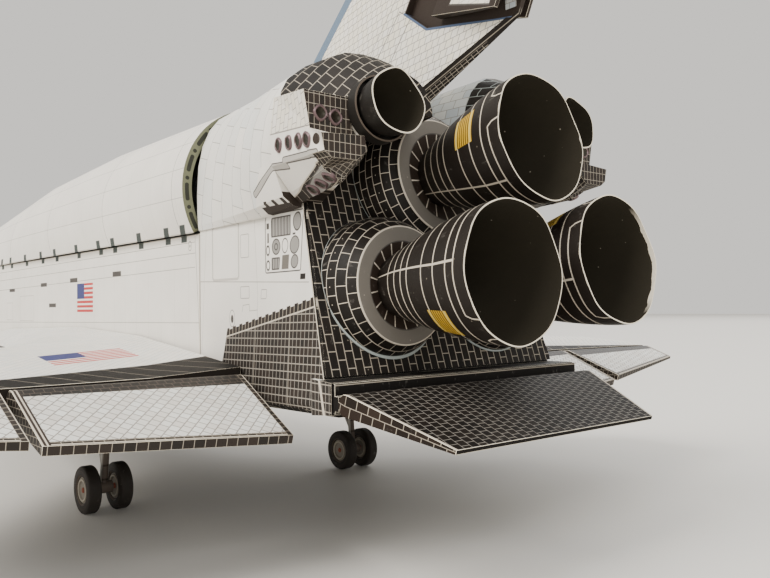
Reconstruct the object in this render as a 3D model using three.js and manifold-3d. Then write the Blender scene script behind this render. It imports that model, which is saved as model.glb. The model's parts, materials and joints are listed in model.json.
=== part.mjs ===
// Card model of a winged space shuttle orbiter at 1:100, standing on its wheels.
// Millimetres, +Z up, nose towards -Y, port side towards +X, origin on the floor under the middle.
import * as THREE from 'three';
import { mergeVertices } from 'three/addons/utils/BufferGeometryUtils.js';
import Module from 'manifold-3d';

const wasm = await Module();
wasm.setup();

// Driving dimensions
const noseTipY = -187;
const cabinEndY = -99.4;
const bayFrontY = -99;
const bayAftY = 84.3;
const aftBodyY = 85;
const bodyHalf = 26.7;
const bodyBottom = 28.9;
const sillZ = 67;
const bodyTopAft = 88.5;
const bayRadius = 22.9;
const bayCentreZ = 63.2;
const doorFootZ = 67.35;
const doorThick = 2.4;
const seam = 0.3;
const baseLowY = 139.3;
const baseLowZ = 36.9;
const baseHalf = 31.4;
const baseLean = 0.329;
const baseTaper = 0.11;
const shieldThick = 0.6;
const ledgeEndY = 145.2;
const housingFrontY = 128.6;
const podUndercutEndY = 160;
const hingeY = 110;
const wingRootX = 27;
const wingBreakX = 48.3;
const elevonSplitX = 75.7;
const wingTipX = 118.9;
const elevonDroop = { inner: 17, outer: 14 };
const flapHalf = 33.4;
const flapDroop = 17;
const finRootZ = 88.9;
const finTipZ = 168.8;
const portBrakeOpen = 13;
const starboardBrakeOpen = 5;
const mainAxle = { x: 38.9, y: 56.9, tyreRadius: 5.8, tyreWidth: 3.2, spacing: 7.8 };
const noseAxle = { x: 0, y: -151.8, tyreRadius: 4.1, tyreWidth: 2, spacing: 5.2 };
const deg = Math.PI / 180;

// Solids and the named pieces made of them
const orbiter = new THREE.Group();

function finish(colour, roughness, metalness = 0) {
  return new THREE.MeshStandardMaterial({ color: colour, roughness, metalness });
}

const finishes = {
  whiteCard: finish(0xe6e2d8, 0.6),
  greyCard: finish(0xb9b7b2, 0.6),
  tileCard: finish(0x3a332e, 0.6),
  blackCard: finish(0x1c1a18, 0.55),
  liner: finish(0x8d9078, 0.65),
  wheelCard: finish(0x2c2a2b, 0.7),
  strutCard: finish(0x6d6a66, 0.6),
};

function toSolid(geometry) {
  const bare = new THREE.BufferGeometry();
  bare.setAttribute('position', geometry.getAttribute('position'));
  if (geometry.index) bare.setIndex(geometry.index);
  const merged = mergeVertices(bare, 1e-4);
  return new wasm.Manifold(new wasm.Mesh({
    numProp: 3,
    vertProperties: new Float32Array(merged.getAttribute('position').array),
    triVerts: new Uint32Array(merged.index.array),
  }));
}

function toGeometry(solid) {
  const mesh = solid.getMesh();
  const geometry = new THREE.BufferGeometry();
  geometry.setAttribute('position', new THREE.BufferAttribute(new Float32Array(mesh.vertProperties), 3));
  geometry.setIndex(Array.from(mesh.triVerts));
  geometry.computeVertexNormals();
  return geometry;
}

function piece(name, solid, material) {
  const mesh = new THREE.Mesh(toGeometry(solid), material);
  mesh.name = name;
  orbiter.add(mesh);
}

// A closed skin over rings of equal count; flat(point) gives each end cap its own two coordinates
function loft(rings, flat = (p) => [p[0], p[2]]) {
  const count = rings[0].length;
  const triangles = [];
  for (let r = 0; r + 1 < rings.length; r += 1) {
    for (let i = 0; i < count; i += 1) {
      const a = r * count + i;
      const b = r * count + ((i + 1) % count);
      triangles.push([a, b, b + count], [a, b + count, a + count]);
    }
  }
  for (const r of [0, rings.length - 1]) {
    const outline = rings[r].map((p) => new THREE.Vector2(...flat(p)));
    const caps = THREE.ShapeUtils.triangulateShape(outline, []);
    for (const [a, b, c] of caps) {
      const turned = THREE.ShapeUtils.isClockWise(outline);
      const face = turned === (r === 0) ? [a, b, c] : [a, c, b];
      triangles.push(face.map((i) => i + r * count));
    }
  }
  const points = rings.flat();
  const volume = triangles.reduce((sum, [a, b, c]) => sum
    + new THREE.Vector3(...points[a]).dot(
      new THREE.Vector3(...points[b]).cross(new THREE.Vector3(...points[c])),
    ), 0);
  const ordered = volume < 0 ? triangles.map(([a, b, c]) => [a, c, b]) : triangles;
  const geometry = new THREE.BufferGeometry();
  geometry.setAttribute('position', new THREE.Float32BufferAttribute(points.flat(), 3));
  geometry.setIndex(ordered.flat());
  return toSolid(geometry);
}

// An outline of [a, b] pairs carried straight along one axis between two places
function prism(outline, axis, from, to) {
  const place = {
    x: ([a, b], t) => [t, a, b],
    y: ([a, b], t) => [a, t, b],
    z: ([a, b], t) => [a, b, t],
  }[axis];
  const flat = { x: (p) => [p[1], p[2]], y: (p) => [p[0], p[2]], z: (p) => [p[0], p[1]] }[axis];
  return loft([from, to].map((t) => outline.map((p) => place(p, t))), flat);
}

function rod(from, to, radius, sides = 10) {
  const a = new THREE.Vector3(...from);
  const b = new THREE.Vector3(...to);
  const geometry = new THREE.CylinderGeometry(radius, radius, a.distanceTo(b), sides);
  const along = b.clone().sub(a).normalize();
  geometry.applyQuaternion(new THREE.Quaternion().setFromUnitVectors(new THREE.Vector3(0, 1, 0), along));
  geometry.translate(...a.add(b).multiplyScalar(0.5).toArray());
  return toSolid(geometry);
}

// A [radius, height] profile turned about +Z, then tipped from aft (+Y) by pitch and yaw and placed
function turned(profile, sides, at, pitch, yaw) {
  const geometry = new THREE.LatheGeometry(profile.map(([r, h]) => new THREE.Vector2(r, h)), sides);
  geometry.rotateX(pitch * deg);
  geometry.rotateZ(-yaw * deg);
  geometry.translate(...at);
  return toSolid(geometry);
}

function spun(solid, at, axis, angle) {
  const turn = new THREE.Matrix4().makeTranslation(...at)
    .multiply(new THREE.Matrix4().makeRotationAxis(new THREE.Vector3(...axis).normalize(), angle * deg))
    .multiply(new THREE.Matrix4().makeTranslation(-at[0], -at[1], -at[2]));
  return toSolid(toGeometry(solid).applyMatrix4(turn));
}

function mirrored(rings) {
  return rings.map((ring) => ring.map(([x, y, z]) => [-x, y, z]));
}

// The starboard pod sits a little higher at its rear than the port one
const sides = [
  { side: 'port', sign: 1, podLift: 0, nozzlePitch: 6 },
  { side: 'starboard', sign: -1, podLift: 1.8, nozzlePitch: 11 },
];

function onSide(sign, rings) {
  return sign > 0 ? rings : mirrored(rings);
}

// Fuselage: flat bottom with round corners, straight sides, half an ellipse above the sill
function bodyRing({ half, bottom, sill, top, corner }, yAt, widthAt = () => half) {
  const points = [];
  for (let i = 0; i <= 3; i += 1) {
    const a = (-90 + 30 * i) * deg;
    points.push([half - corner + corner * Math.cos(a), bottom + corner + corner * Math.sin(a)]);
  }
  for (let i = 0; i <= 12; i += 1) {
    const a = 7.5 * i * deg;
    points.push([half * Math.cos(a), sill + (top - sill) * Math.sin(a)]);
  }
  const ring = points.map(([x, z]) => [x * (widthAt(z) / half), yAt(z), z]);
  const other = ring.slice(0, -1).reverse().map(([x, y, z]) => [-x, y, z]);
  return [...ring, ...other];
}

const noseStations = [
  { y: noseTipY, half: 2, bottom: 45.6, sill: 47.4, top: 49, corner: 0.9 },
  { y: -186, half: 4.8, bottom: 42.8, sill: 47.6, top: 51.8, corner: 2 },
  { y: -183.4, half: 8.1, bottom: 39.9, sill: 48.2, top: 55.4, corner: 3.4 },
  { y: -177.2, half: 12.4, bottom: 36.4, sill: 49.6, top: 60.2, corner: 4.8 },
  { y: -168.3, half: 16.4, bottom: 33.6, sill: 51.6, top: 64.8, corner: 5.6 },
  { y: -158, half: 19.8, bottom: 31.6, sill: 54, top: 69.2, corner: 6 },
  { y: -147.6, half: 22.4, bottom: 30.4, sill: 56.8, top: 73.2, corner: 5.6 },
  { y: -137, half: 24.3, bottom: 29.5, sill: 60.4, top: 86, corner: 5 },
  { y: -129.6, half: 25.3, bottom: 29.1, sill: 63, top: 90.4, corner: 4.2 },
  { y: -118, half: 26.2, bottom: 28.9, sill: 65.6, top: 92.2, corner: 3.2 },
  { y: cabinEndY, half: bodyHalf, bottom: bodyBottom, sill: sillZ, top: 92.8, corner: 2 },
];

function noseBody(drop) {
  return loft(noseStations.map((s) => bodyRing({ ...s, bottom: s.bottom - drop }, () => s.y)));
}

function forwardFuselage() {
  piece('forward_fuselage', noseBody(0), finishes.whiteCard);
}

function midFuselage() {
  const outline = [];
  for (let i = 0; i <= 3; i += 1) {
    const a = (-90 + 30 * i) * deg;
    outline.push([bodyHalf - 2 + 2 * Math.cos(a), bodyBottom + 2 + 2 * Math.sin(a)]);
  }
  outline.push([bodyHalf, sillZ], [bayRadius, sillZ]);
  const trough = [];
  for (let i = 0; i <= 9; i += 1) {
    const a = 10 * i * deg;
    trough.push([bayRadius * Math.cos(a), bayCentreZ - bayRadius * Math.sin(a)]);
  }
  const port = [...outline, ...trough];
  const starboard = port.slice(0, -1).reverse().map(([x, z]) => [-x, z]);
  piece('mid_fuselage', prism([...port, ...starboard], 'y', bayFrontY, bayAftY), finishes.whiteCard);
}

// The base leans forward as it rises, and the body widens towards it
function baseY(z) {
  return baseLowY - baseLean * (z - baseLowZ);
}

function baseHalfAt(z) {
  return baseHalf - baseTaper * (Math.max(z, baseLowZ) - baseLowZ);
}

function aftBody(grow) {
  const shape = { bottom: bodyBottom - grow, sill: sillZ, top: bodyTopAft + grow, corner: 2 };
  const front = bodyRing({ ...shape, half: bodyHalf + grow }, () => aftBodyY - grow);
  const back = bodyRing({ ...shape, half: baseHalf + grow, bottom: 30.3 - grow },
    (z) => baseY(z) + grow, (z) => baseHalfAt(z) + grow);
  const foot = [[baseHalf, 30.4], [baseHalf, baseLowZ], [-baseHalf, baseLowZ], [-baseHalf, 30.4]];
  const tail = [[33.2, 31.3], [33.2, 36.8], [-33.2, 36.8], [-33.2, 31.3]];
  const ledge = loft([
    foot.map(([x, z]) => [x, 136, z]),
    tail.map(([x, z]) => [x, ledgeEndY - 0.8, z]),
  ]);
  return loft([front, back]).add(ledge);
}

function aftFuselage() {
  piece('aft_fuselage', aftBody(0), finishes.whiteCard);
  const bar = prism([[-33, 31.6], [33, 31.6], [33, 36.7], [-33, 36.7]], 'y', ledgeEndY - 0.5, ledgeEndY);
  const flapFrontY = flapHinge.y - flapHinge.nose - seam;
  const strip = prism([[-33, 32], [33, 32], [33, 34.6], [-33, 34.6]], 'y', ledgeEndY - 0.2, flapFrontY);
  piece('flap_ledge', bar.add(strip), finishes.blackCard);
}

// A slab lying on the base between two heights above it, inset from the body's edge
function baseSlab(low, high, inset) {
  const half = baseHalf - inset;
  const shape = { half, bottom: 37 + inset, sill: sillZ, top: bodyTopAft - inset, corner: 0.3 };
  const edge = bodyRing(shape, () => 0, (z) => baseHalfAt(z) - inset);
  return loft([low, high].map((lift) => edge.map(([x, , z]) => [x, baseY(z) + lift, z])));
}

function baseShield() {
  const clear = podBody(sides[0], seam).add(podBody(sides[1], seam));
  piece('base_heat_shield', baseSlab(seam, seam + shieldThick, 0.3).subtract(clear), finishes.tileCard);
}

// Payload bay doors: an arch whose corner rounds less towards the tail, so the door bulges there
const archStations = [
  { y: bayFrontY, centreX: 2.6, centreZ: 68, radius: 24.6 },
  { y: -40, centreX: 6, centreZ: 74, radius: 23 },
  { y: 20, centreX: 8.6, centreZ: 76.6, radius: 21.8 },
  { y: bayAftY, centreX: 10.4, centreZ: 77.5, radius: 20.4 },
];

function archRing({ y, centreX, centreZ, radius }) {
  const steps = 14;
  const line = (r) => {
    const start = Math.asin((doorFootZ - centreZ) / r);
    const arc = [];
    for (let i = 0; i <= steps; i += 1) {
      const a = start + (Math.PI / 2 - start) * (i / steps);
      arc.push([centreX + r * Math.cos(a), y, centreZ + r * Math.sin(a)]);
    }
    arc.push([seam / 2, y, centreZ + r]);
    return arc;
  };
  return [...line(radius), ...line(radius - doorThick).reverse()];
}

function payloadDoors() {
  const rings = archStations.map(archRing);
  for (const { side, sign } of sides) {
    piece(`payload_door_${side}`, loft(onSide(sign, rings)), finishes.whiteCard);
  }
}

// Manoeuvring pods: rings of a rounded box from the doors back to the nozzle
const podStations = [
  { y: 85, inner: 4, outer: 27.4, middle: 76, top: 96.6, footX: 27, low: 67.5 },
  { y: 104, inner: 4, outer: 29.6, middle: 78, top: 96.9, footX: 28, low: 67.8 },
  { y: 116, inner: 4, outer: 32.4, middle: 79, top: 97, footX: 28.8, low: 68 },
  { y: 129, inner: 5, outer: 34.5, middle: 80.5, top: 97.4, footX: 30, low: 68.8 },
  { y: 136, inner: 7, outer: 32.8, middle: 81, top: 97.6, footX: 29, low: 74 },
  { y: 141, inner: 9.5, outer: 30.6, middle: 82, top: 95.4, footX: 27.5, low: 76.6 },
  { y: 148, inner: 12, outer: 29.2, middle: 83, top: 91.2, footX: 26, low: 78.8 },
];

function podRing({ y, inner, outer, middle, top, footX, low }, grow) {
  const centreX = inner + (outer - inner) * 0.45;
  const squareness = 2 / 2.3;
  const points = [[inner - grow, y, low - 4 - grow]];
  for (let i = 12; i >= 0; i -= 1) {
    const a = 15 * i * deg;
    const reach = i > 6 ? centreX - inner + grow : outer - centreX + grow;
    const x = centreX + reach * Math.sign(Math.cos(a)) * Math.abs(Math.cos(a)) ** squareness;
    points.push([x, y, middle + (top + grow - middle) * Math.sin(a) ** squareness]);
  }
  for (let i = 1; i <= 3; i += 1) {
    const a = 30 * i * deg;
    const x = footX + grow + (outer - footX) * Math.cos(a);
    points.push([x, y, middle - (middle + grow - low) * Math.sin(a)]);
  }
  return points;
}

function lifted(rings, podLift) {
  const share = (y) => Math.min(1, Math.max(0, (y - 104) / 32));
  return rings.map((ring) => ring.map(([x, y, z]) => [x, y, z + podLift * share(y)]));
}

function podHull({ sign, podLift }, grow) {
  const last = podStations.length - 1;
  const rings = podStations.map((s, i) => podRing({ ...s, y: s.y + (i === last ? grow : 0) }, grow));
  return loft(onSide(sign, lifted(rings, podLift)));
}

// The pod's underside is cut away behind the base, so that base and top dome stand free, and for the housing
const podUndercuts = [
  { outline: [[-2, 60], [26, 60], [26, 79], [22, 80.5], [18, 84], [-2, 85]], frontY: baseY },
  { outline: [[24, 60], [40, 60], [40, 79], [24, 79]], frontY: () => housingFrontY },
];

function podBody(place, grow) {
  let pod = podHull(place, grow);
  for (const { outline, frontY } of podUndercuts) {
    const front = outline.map(([x, z]) => [x - grow, frontY(z) + grow, z - grow]);
    const back = front.map(([x, , z]) => [x, podUndercutEndY, z]);
    pod = pod.subtract(loft(onSide(place.sign, [front, back])));
  }
  return pod;
}

// Pod nozzle: a small bell standing in a hollow of the pod's rear
const podNozzle = { x: 24.4, y: 139.2, z: 82.9, yaw: 1.8, mouth: 5.86, length: 14 };

function podTurned(profile, { sign, podLift, nozzlePitch }) {
  const { x, y, z, yaw } = podNozzle;
  return turned(profile, 28, [sign * x, y, z + podLift], nozzlePitch, sign * yaw);
}

// Thruster housing: corners from the pod's top round to the body, at four stations
const housingBlocks = [
  [
    {
      y: housingFrontY,
      outline: [[24, 88.4], [34, 88.4], [34.9, 81.4], [34.6, 75.6], [30.6, 70.9], [28.6, 69.2], [24, 69.2]],
    },
    {
      y: 146.2,
      outline: [[27, 85.4], [39.5, 85.4], [38.4, 79.6], [37.8, 74.9], [35.6, 72.7], [31.7, 70.8], [27, 75.6]],
    },
  ],
  [
    { y: 145, outline: [[28.4, 78.9], [38.5, 79.6], [37.9, 74.9], [35.4, 72.6], [31.3, 70.9], [28.2, 75.2]] },
    { y: 150.2, outline: [[30, 78.2], [38.9, 77.7], [38.3, 74.9], [36.8, 73.9], [31.6, 74], [29.5, 75.7]] },
  ],
];

function housingBlock({ sign, podLift }, stations) {
  const rings = stations.map(({ y, outline }) => outline.map(([x, z]) => [x, y, z]));
  return loft(onSide(sign, lifted(rings, podLift)));
}

function pods() {
  const domes = engines.map((e) => dome(e, seam).subtract(baseCut(seam + shieldThick)));
  const body = domes.reduce((solid, d) => solid.add(d), aftBody(seam));
  const { mouth, length } = podNozzle;
  const cavity = [
    [0, -seam], [3.8, -seam], [3.8, 3], [4.9, 6.4], [6, 10], [6.7, length], [6.7, length + 9], [0, length + 9],
  ];
  const wide = mouth + seam;
  const clearance = [[0, -seam], [3 + seam, -seam], [wide, length - 4], [wide, length + 9], [0, length + 9]];
  for (const place of sides) {
    const shell = podBody(place, 0).subtract(body.add(podTurned(cavity, place)));
    piece(`pod_${place.side}`, shell, finishes.whiteCard);
    const housing = housingBlock(place, housingBlocks[0]).add(housingBlock(place, housingBlocks[1]));
    const room = body.add(baseSlab(0, shieldThick + 2 * seam, 0)).add(podTurned(clearance, place));
    const free = housing.subtract(room.add(podBody(place, seam)));
    piece(`thruster_housing_${place.side}`, free, finishes.whiteCard);
  }
}

// Main engines: dome with a sunk throat, and a bell standing in it
const engines = [
  { name: 'top', at: [0, 133.3, 75], pitch: 9.4, yaw: -1.6, base: 15, rim: 12, depth: 4.6, bell: 30 },
  { name: 'port', at: [14.3, 136.2, 53.2], pitch: 3.2, yaw: 0, base: 13.7, rim: 11.2, depth: 6, bell: 33 },
  { name: 'starboard', at: [-14.3, 136.2, 53.2], pitch: 8, yaw: 0, base: 13.7, rim: 11.2, depth: 6, bell: 33.6 },
];

function dome({ at, pitch, yaw, base, rim, depth }, grow) {
  const profile = [
    [0, -14], [base + grow, -14], [base + grow, 0], [base * 0.955 + grow, depth * 0.45],
    [rim * 1.05 + grow, depth * 0.82], [rim + grow, depth + grow],
  ];
  const throat = grow > 0 ? [[0, depth + grow]] : [[rim - 2.8, depth], [5.4, depth - 5.4], [0, depth - 5.4]];
  return turned([...profile, ...throat], 32, at, pitch, yaw);
}

// Tail fin: thin wedge with a keel under its overhang and a pocket for the split rudder
function finRing({ z, lead, trail, half }) {
  const chord = trail - lead;
  const back = half * 0.3;
  return [
    [0.15, lead, z], [half * 0.62, lead + chord * 0.12, z], [half, lead + chord * 0.45, z], [back, trail, z],
    [-back, trail, z], [-half, lead + chord * 0.45, z], [-half * 0.62, lead + chord * 0.12, z], [-0.15, lead, z],
  ];
}

const finStations = [
  { z: finRootZ, lead: 86, trail: 152.6, half: 2.4 },
  { z: 104, lead: 88, trail: 159.1, half: 2.3 },
  { z: 110.1, lead: 93.8, trail: 161.8, half: 2.2 },
  { z: 121.3, lead: 106.5, trail: 166.6, half: 2.1 },
  { z: finTipZ, lead: 153.2, trail: 187, half: 1.3 },
];
const keelOutline = [[113.5, 82.1], [158.6, 102.6], [210, 102.6], [210, 60], [113.5, 60]];
const keelRise = 1.85;
const rudderFoot = [138.9, 107.5];
const rudderLean = 0.667;
const brakeInner = 0.8;
const pocketOutline = [
  [129.6, 111], [135.8, 106.5], [157, 102.8], [192, 102.8], [192, 161.5], [163.3, 161.5],
];

// The fin's underside behind the body is a V: cut below a plane that rises away from the middle
function keelCut(sign) {
  const rings = [0, 6].map((x) => keelOutline.map(([y, z]) => [sign * x, y, z + keelRise * x]));
  return loft(rings, (p) => [p[1], p[2]]);
}

function fin() {
  const blade = loft(finStations.map(finRing), (p) => [p[0], p[1]]);
  const cutters = sides.map(({ sign }) => keelCut(sign).add(prism(pocketOutline, 'x', sign * 0.5, sign * 8)));
  const clear = dome(engines[0], seam);
  piece('tail_fin', blade.subtract(cutters[0]).subtract(cutters[1]).subtract(clear), finishes.whiteCard);
}

function speedBrakes() {
  const height = 53;
  const foot = rudderFoot;
  const head = [foot[0] + rudderLean * height, foot[1] + height];
  const outline = [
    { at: foot, thick: 2.3 },
    { at: [158.2, 103.1], thick: 0.8 },
    { at: [184.2, 160.3], thick: 0.7 },
    { at: head, thick: 1.5 },
  ];
  const axis = [0, head[0] - foot[0], head[1] - foot[1]];
  const open = { port: portBrakeOpen, starboard: starboardBrakeOpen };
  for (const { side, sign } of sides) {
    const inner = outline.map(({ at }) => [sign * brakeInner, ...at]);
    const outer = outline.map(({ at, thick }) => [sign * (brakeInner + thick), ...at]);
    const panel = loft([inner, outer], (p) => [p[1], p[2]]);
    const hinge = [sign * brakeInner, ...foot];
    piece(`speed_brake_${side}`, spun(panel, hinge, axis, -sign * open[side]), finishes.greyCard);
  }
}

// Wing: sections from the root out; the rear edge stops short of the elevon noses
const wingStations = [
  { x: wingRootX, lead: -120, edge: 34.6, crestY: 6, crest: 44.4, back: 106.8, backTop: 37.4, under: 29.2 },
  { x: wingBreakX, lead: 9.5, edge: 33, crestY: 44, crest: 41.6, back: 106.9, backTop: 36.4, under: 29.9 },
  { x: elevonSplitX, lead: 37.2, edge: 33.9, crestY: 62, crest: 40.3, back: 107.2, backTop: 36.4, under: 31 },
  { x: wingTipX - 4, lead: 76.4, edge: 35, crestY: 88, crest: 38.4, back: 108.2, backTop: 36.1, under: 32.9 },
  { x: wingTipX, lead: 84, edge: 35.2, crestY: 92, crest: 37.6, back: 108.4, backTop: 36, under: 33.4 },
];

function bodyHalfAlong(y) {
  return bodyHalf + (baseHalf - bodyHalf) * Math.max(0, (y - aftBodyY) / (baseLowY - aftBodyY));
}

function wingRing(s, drop) {
  const ahead = s.crestY - s.lead;
  const behind = s.back - s.crestY;
  const outline = [
    [s.lead, s.edge],
    [s.lead + ahead * 0.1, s.edge + (s.crest - s.edge) * 0.42],
    [s.lead + ahead * 0.42, s.edge + (s.crest - s.edge) * 0.84],
    [s.crestY, s.crest],
    [s.crestY + behind * 0.45, s.crest - (s.crest - s.backTop) * 0.25],
    [s.back, s.backTop],
    [s.back, s.under + 0.8 - drop],
    [s.crestY, s.under - drop],
    [s.lead + ahead * 0.25, s.under + (s.edge - s.under) * 0.15 - drop],
    [s.lead + ahead * 0.06, s.edge - (s.edge - s.under) * 0.5 - drop],
  ];
  const rootShift = (y) => (s.x === wingRootX ? bodyHalfAlong(y) - bodyHalf : 0);
  return outline.map(([y, z]) => [s.x + rootShift(y), y, z]);
}

function wing(sign, drop) {
  const rings = wingStations.map((s) => wingRing(s, drop));
  return loft(onSide(sign, rings), (p) => [p[1], p[2]]);
}

function wings() {
  for (const { side, sign } of sides) {
    piece(`wing_${side}`, wing(sign, 0), finishes.greyCard);
  }
}

// Elevons: round nose on the hinge line, wedge to the rear edge; all droop by the same angle
const elevonStations = {
  inner: [
    { x: 30.8, endX: 33.2, nose: 2.8, chord: 24, hinge: 33.4, tail: 1.7 },
    { x: elevonSplitX - 0.9, endX: elevonSplitX - 0.9, nose: 2.4, chord: 17.9, hinge: 33.9, tail: 1.7 },
  ],
  outer: [
    { x: elevonSplitX + 0.9, endX: elevonSplitX + 0.9, nose: 2.4, chord: 17.6, hinge: 33.9, tail: 1.6 },
    { x: wingTipX - 0.3, endX: wingTipX - 1.2, nose: 1.3, chord: 9, hinge: 34.6, tail: 0.8 },
  ],
};

function elevonRing({ x, endX, nose, chord, hinge, tail }) {
  const points = [];
  for (let i = 0; i <= 6; i += 1) {
    const a = (90 + 30 * i) * deg;
    points.push([nose * Math.cos(a), nose * Math.sin(a)]);
  }
  points.push([chord, 0.45 - tail], [chord, 0.45]);
  const lean = (dy) => x + (endX - x) * Math.max(0, dy / chord);
  return points.map(([dy, dz]) => [lean(dy), hingeY + dy, hinge + dz]);
}

function elevons() {
  for (const [place, stations] of Object.entries(elevonStations)) {
    for (const { side, sign } of sides) {
      const rings = onSide(sign, stations.map(elevonRing));
      const solid = loft(rings, (p) => [p[1], p[2]]);
      const at = [sign * stations[0].x, hingeY, stations[0].hinge];
      const rise = stations[1].hinge - stations[0].hinge;
      const axis = [stations[1].x - stations[0].x, 0, sign * rise];
      piece(`elevon_${place}_${side}`, spun(solid, at, axis, -elevonDroop[place]), finishes.greyCard);
    }
  }
}

const flapHinge = { y: 148.4, z: 33.3, nose: 1.9, chord: 20.2, tailHalf: 27, tail: 0.8 };

function bodyFlap() {
  const { y, z, nose, chord, tail } = flapHinge;
  const ring = (half, tailHalf) => {
    const points = [];
    for (let i = 0; i <= 6; i += 1) {
      const a = (90 + 30 * i) * deg;
      points.push([half, y + nose * Math.cos(a), z + nose * Math.sin(a)]);
    }
    points.push([tailHalf, y + chord, z - tail / 2], [tailHalf, y + chord, z + tail / 2]);
    return points;
  };
  const rings = [-1, 1].map((sign) => ring(sign * flapHalf, sign * flapHinge.tailHalf));
  const solid = loft(rings, (p) => [p[1], p[2]]);
  piece('body_flap', spun(solid, [0, y, z], [1, 0, 0], -flapDroop), finishes.tileCard);
}

function baseCut(lift) {
  const outline = [[baseY(20) - 60, 10], [baseY(baseLowZ) + lift, 10], [baseY(baseLowZ) + lift, baseLowZ],
    [baseY(100) + lift, 100], [baseY(100) - 60, 100]];
  return prism(outline, 'x', -50, 50);
}

function bell({ at, pitch, yaw, depth, bell: length }) {
  const throat = 4.6;
  const mouth = 12;
  const wall = 0.6;
  const start = depth - 5;
  const outer = [];
  for (let i = 0; i <= 6; i += 1) {
    const t = i / 6;
    outer.push([throat + (mouth - throat) * (1 - (1 - t) ** 1.45), start + t * (length - start)]);
  }
  const inner = outer.map(([r, h]) => [r - wall, h]).reverse();
  inner[inner.length - 1][1] += 1;
  const profile = [[0, start], ...outer, ...inner, [0, start + 1]];
  return turned(profile, 28, at, pitch, yaw);
}

function mainEngines() {
  const cut = baseCut(seam * 2 + shieldThick);
  const grown = engines.slice(1).map((e) => dome(e, seam));
  for (const engine of engines) {
    let solid = dome(engine, 0).subtract(cut);
    if (engine.name === 'top') solid = solid.subtract(grown[0]).subtract(grown[1]);
    piece(`engine_dome_${engine.name}`, solid, finishes.tileCard);
    piece(`engine_bell_${engine.name}`, bell(engine), finishes.blackCard);
  }
}

function podNozzles() {
  const { mouth, length } = podNozzle;
  const wall = 0.45;
  const outer = [[2.9, 0], [2.4, 1.2], [2.7, 3], [3.9, 6.4], [5.1, 10], [mouth, length]];
  const inner = outer.slice(2).map(([r, h]) => [r - wall, h]).reverse();
  const profile = [[0, 0], ...outer, ...inner, [0, 3.4]];
  for (const place of sides) {
    piece(`pod_nozzle_${place.side}`, podTurned(profile, place), finishes.blackCard);
  }
}

// Landing gear: each leg ends in an eye round its axle, and the twin wheels turn as one
function wheelPair({ x, y, tyreRadius, tyreWidth, spacing }, sign) {
  const centre = sign * x;
  const profile = [
    [0, -tyreWidth / 2], [tyreRadius * 0.48, -tyreWidth / 2], [tyreRadius * 0.48, -tyreWidth * 0.4],
    [tyreRadius * 0.56, -tyreWidth * 0.4], [tyreRadius * 0.6, -tyreWidth / 2], [tyreRadius * 0.9, -tyreWidth / 2],
    [tyreRadius, -tyreWidth * 0.34], [tyreRadius, tyreWidth * 0.34], [tyreRadius * 0.9, tyreWidth / 2],
    [tyreRadius * 0.6, tyreWidth / 2], [tyreRadius * 0.56, tyreWidth * 0.4], [tyreRadius * 0.48, tyreWidth * 0.4],
    [tyreRadius * 0.48, tyreWidth / 2], [0, tyreWidth / 2],
  ];
  const wheel = (dx) => {
    const geometry = new THREE.LatheGeometry(profile.map(([r, h]) => new THREE.Vector2(r, h)), 24);
    geometry.rotateZ(-90 * deg);
    geometry.translate(centre + dx, y, tyreRadius);
    return toSolid(geometry);
  };
  const axle = rod([centre - spacing / 2, y, tyreRadius], [centre + spacing / 2, y, tyreRadius], 0.6);
  return wheel(-spacing / 2).add(wheel(spacing / 2)).add(axle);
}

function leg({ x, y, tyreRadius, spacing, tyreWidth }, sign, { headZ, lean, brace, skin }) {
  const room = spacing - tyreWidth - 2 * seam;
  const centre = sign * x;
  const axis = [centre, y, tyreRadius];
  const eye = rod([centre - room / 2, y, tyreRadius], [centre + room / 2, y, tyreRadius], 1.5, 16);
  const bore = rod([centre - 5, y, tyreRadius], [centre + 5, y, tyreRadius], 0.9, 16);
  const strut = rod(axis, [centre - sign * lean, y, headZ], 1, 10);
  const stay = rod([centre, y, tyreRadius + 5], [centre - sign * lean, y + brace, headZ], 0.6, 8);
  return eye.add(strut).add(stay).subtract(bore).subtract(skin);
}

function landingGear() {
  for (const { side, sign } of sides) {
    piece(`main_wheels_${side}`, wheelPair(mainAxle, sign), finishes.wheelCard);
    const strut = leg(mainAxle, sign, { headZ: 31.5, lean: 1.6, brace: -12, skin: wing(sign, seam) });
    piece(`main_gear_leg_${side}`, strut, finishes.strutCard);
    const outline = [[36, 29.6], [80, 29.8], [75, 17.6], [41, 17.6]];
    const door = prism(outline, 'x', sign * 46.6, sign * 47.2);
    piece(`main_gear_door_${side}`, door, finishes.whiteCard);
    const noseOutline = [[-171, 32.4], [-145, 30], [-146, 23.4], [-170, 24.6]];
    const noseDoor = prism(noseOutline, 'x', sign * 5, sign * 5.6);
    piece(`nose_gear_door_${side}`, noseDoor, finishes.whiteCard);
  }
  piece('nose_wheels', wheelPair(noseAxle, 1), finishes.wheelCard);
  const strut = leg(noseAxle, 1, { headZ: 33, lean: 0, brace: -9, skin: noseBody(seam) });
  piece('nose_gear_leg', strut, finishes.strutCard);
}

forwardFuselage();
midFuselage();
aftFuselage();
baseShield();
payloadDoors();
pods();
fin();
speedBrakes();
wings();
elevons();
bodyFlap();
mainEngines();
podNozzles();
landingGear();

export default orbiter;
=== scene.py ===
import json
import bpy
import bmesh
import numpy as np
from mathutils import Matrix


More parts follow.
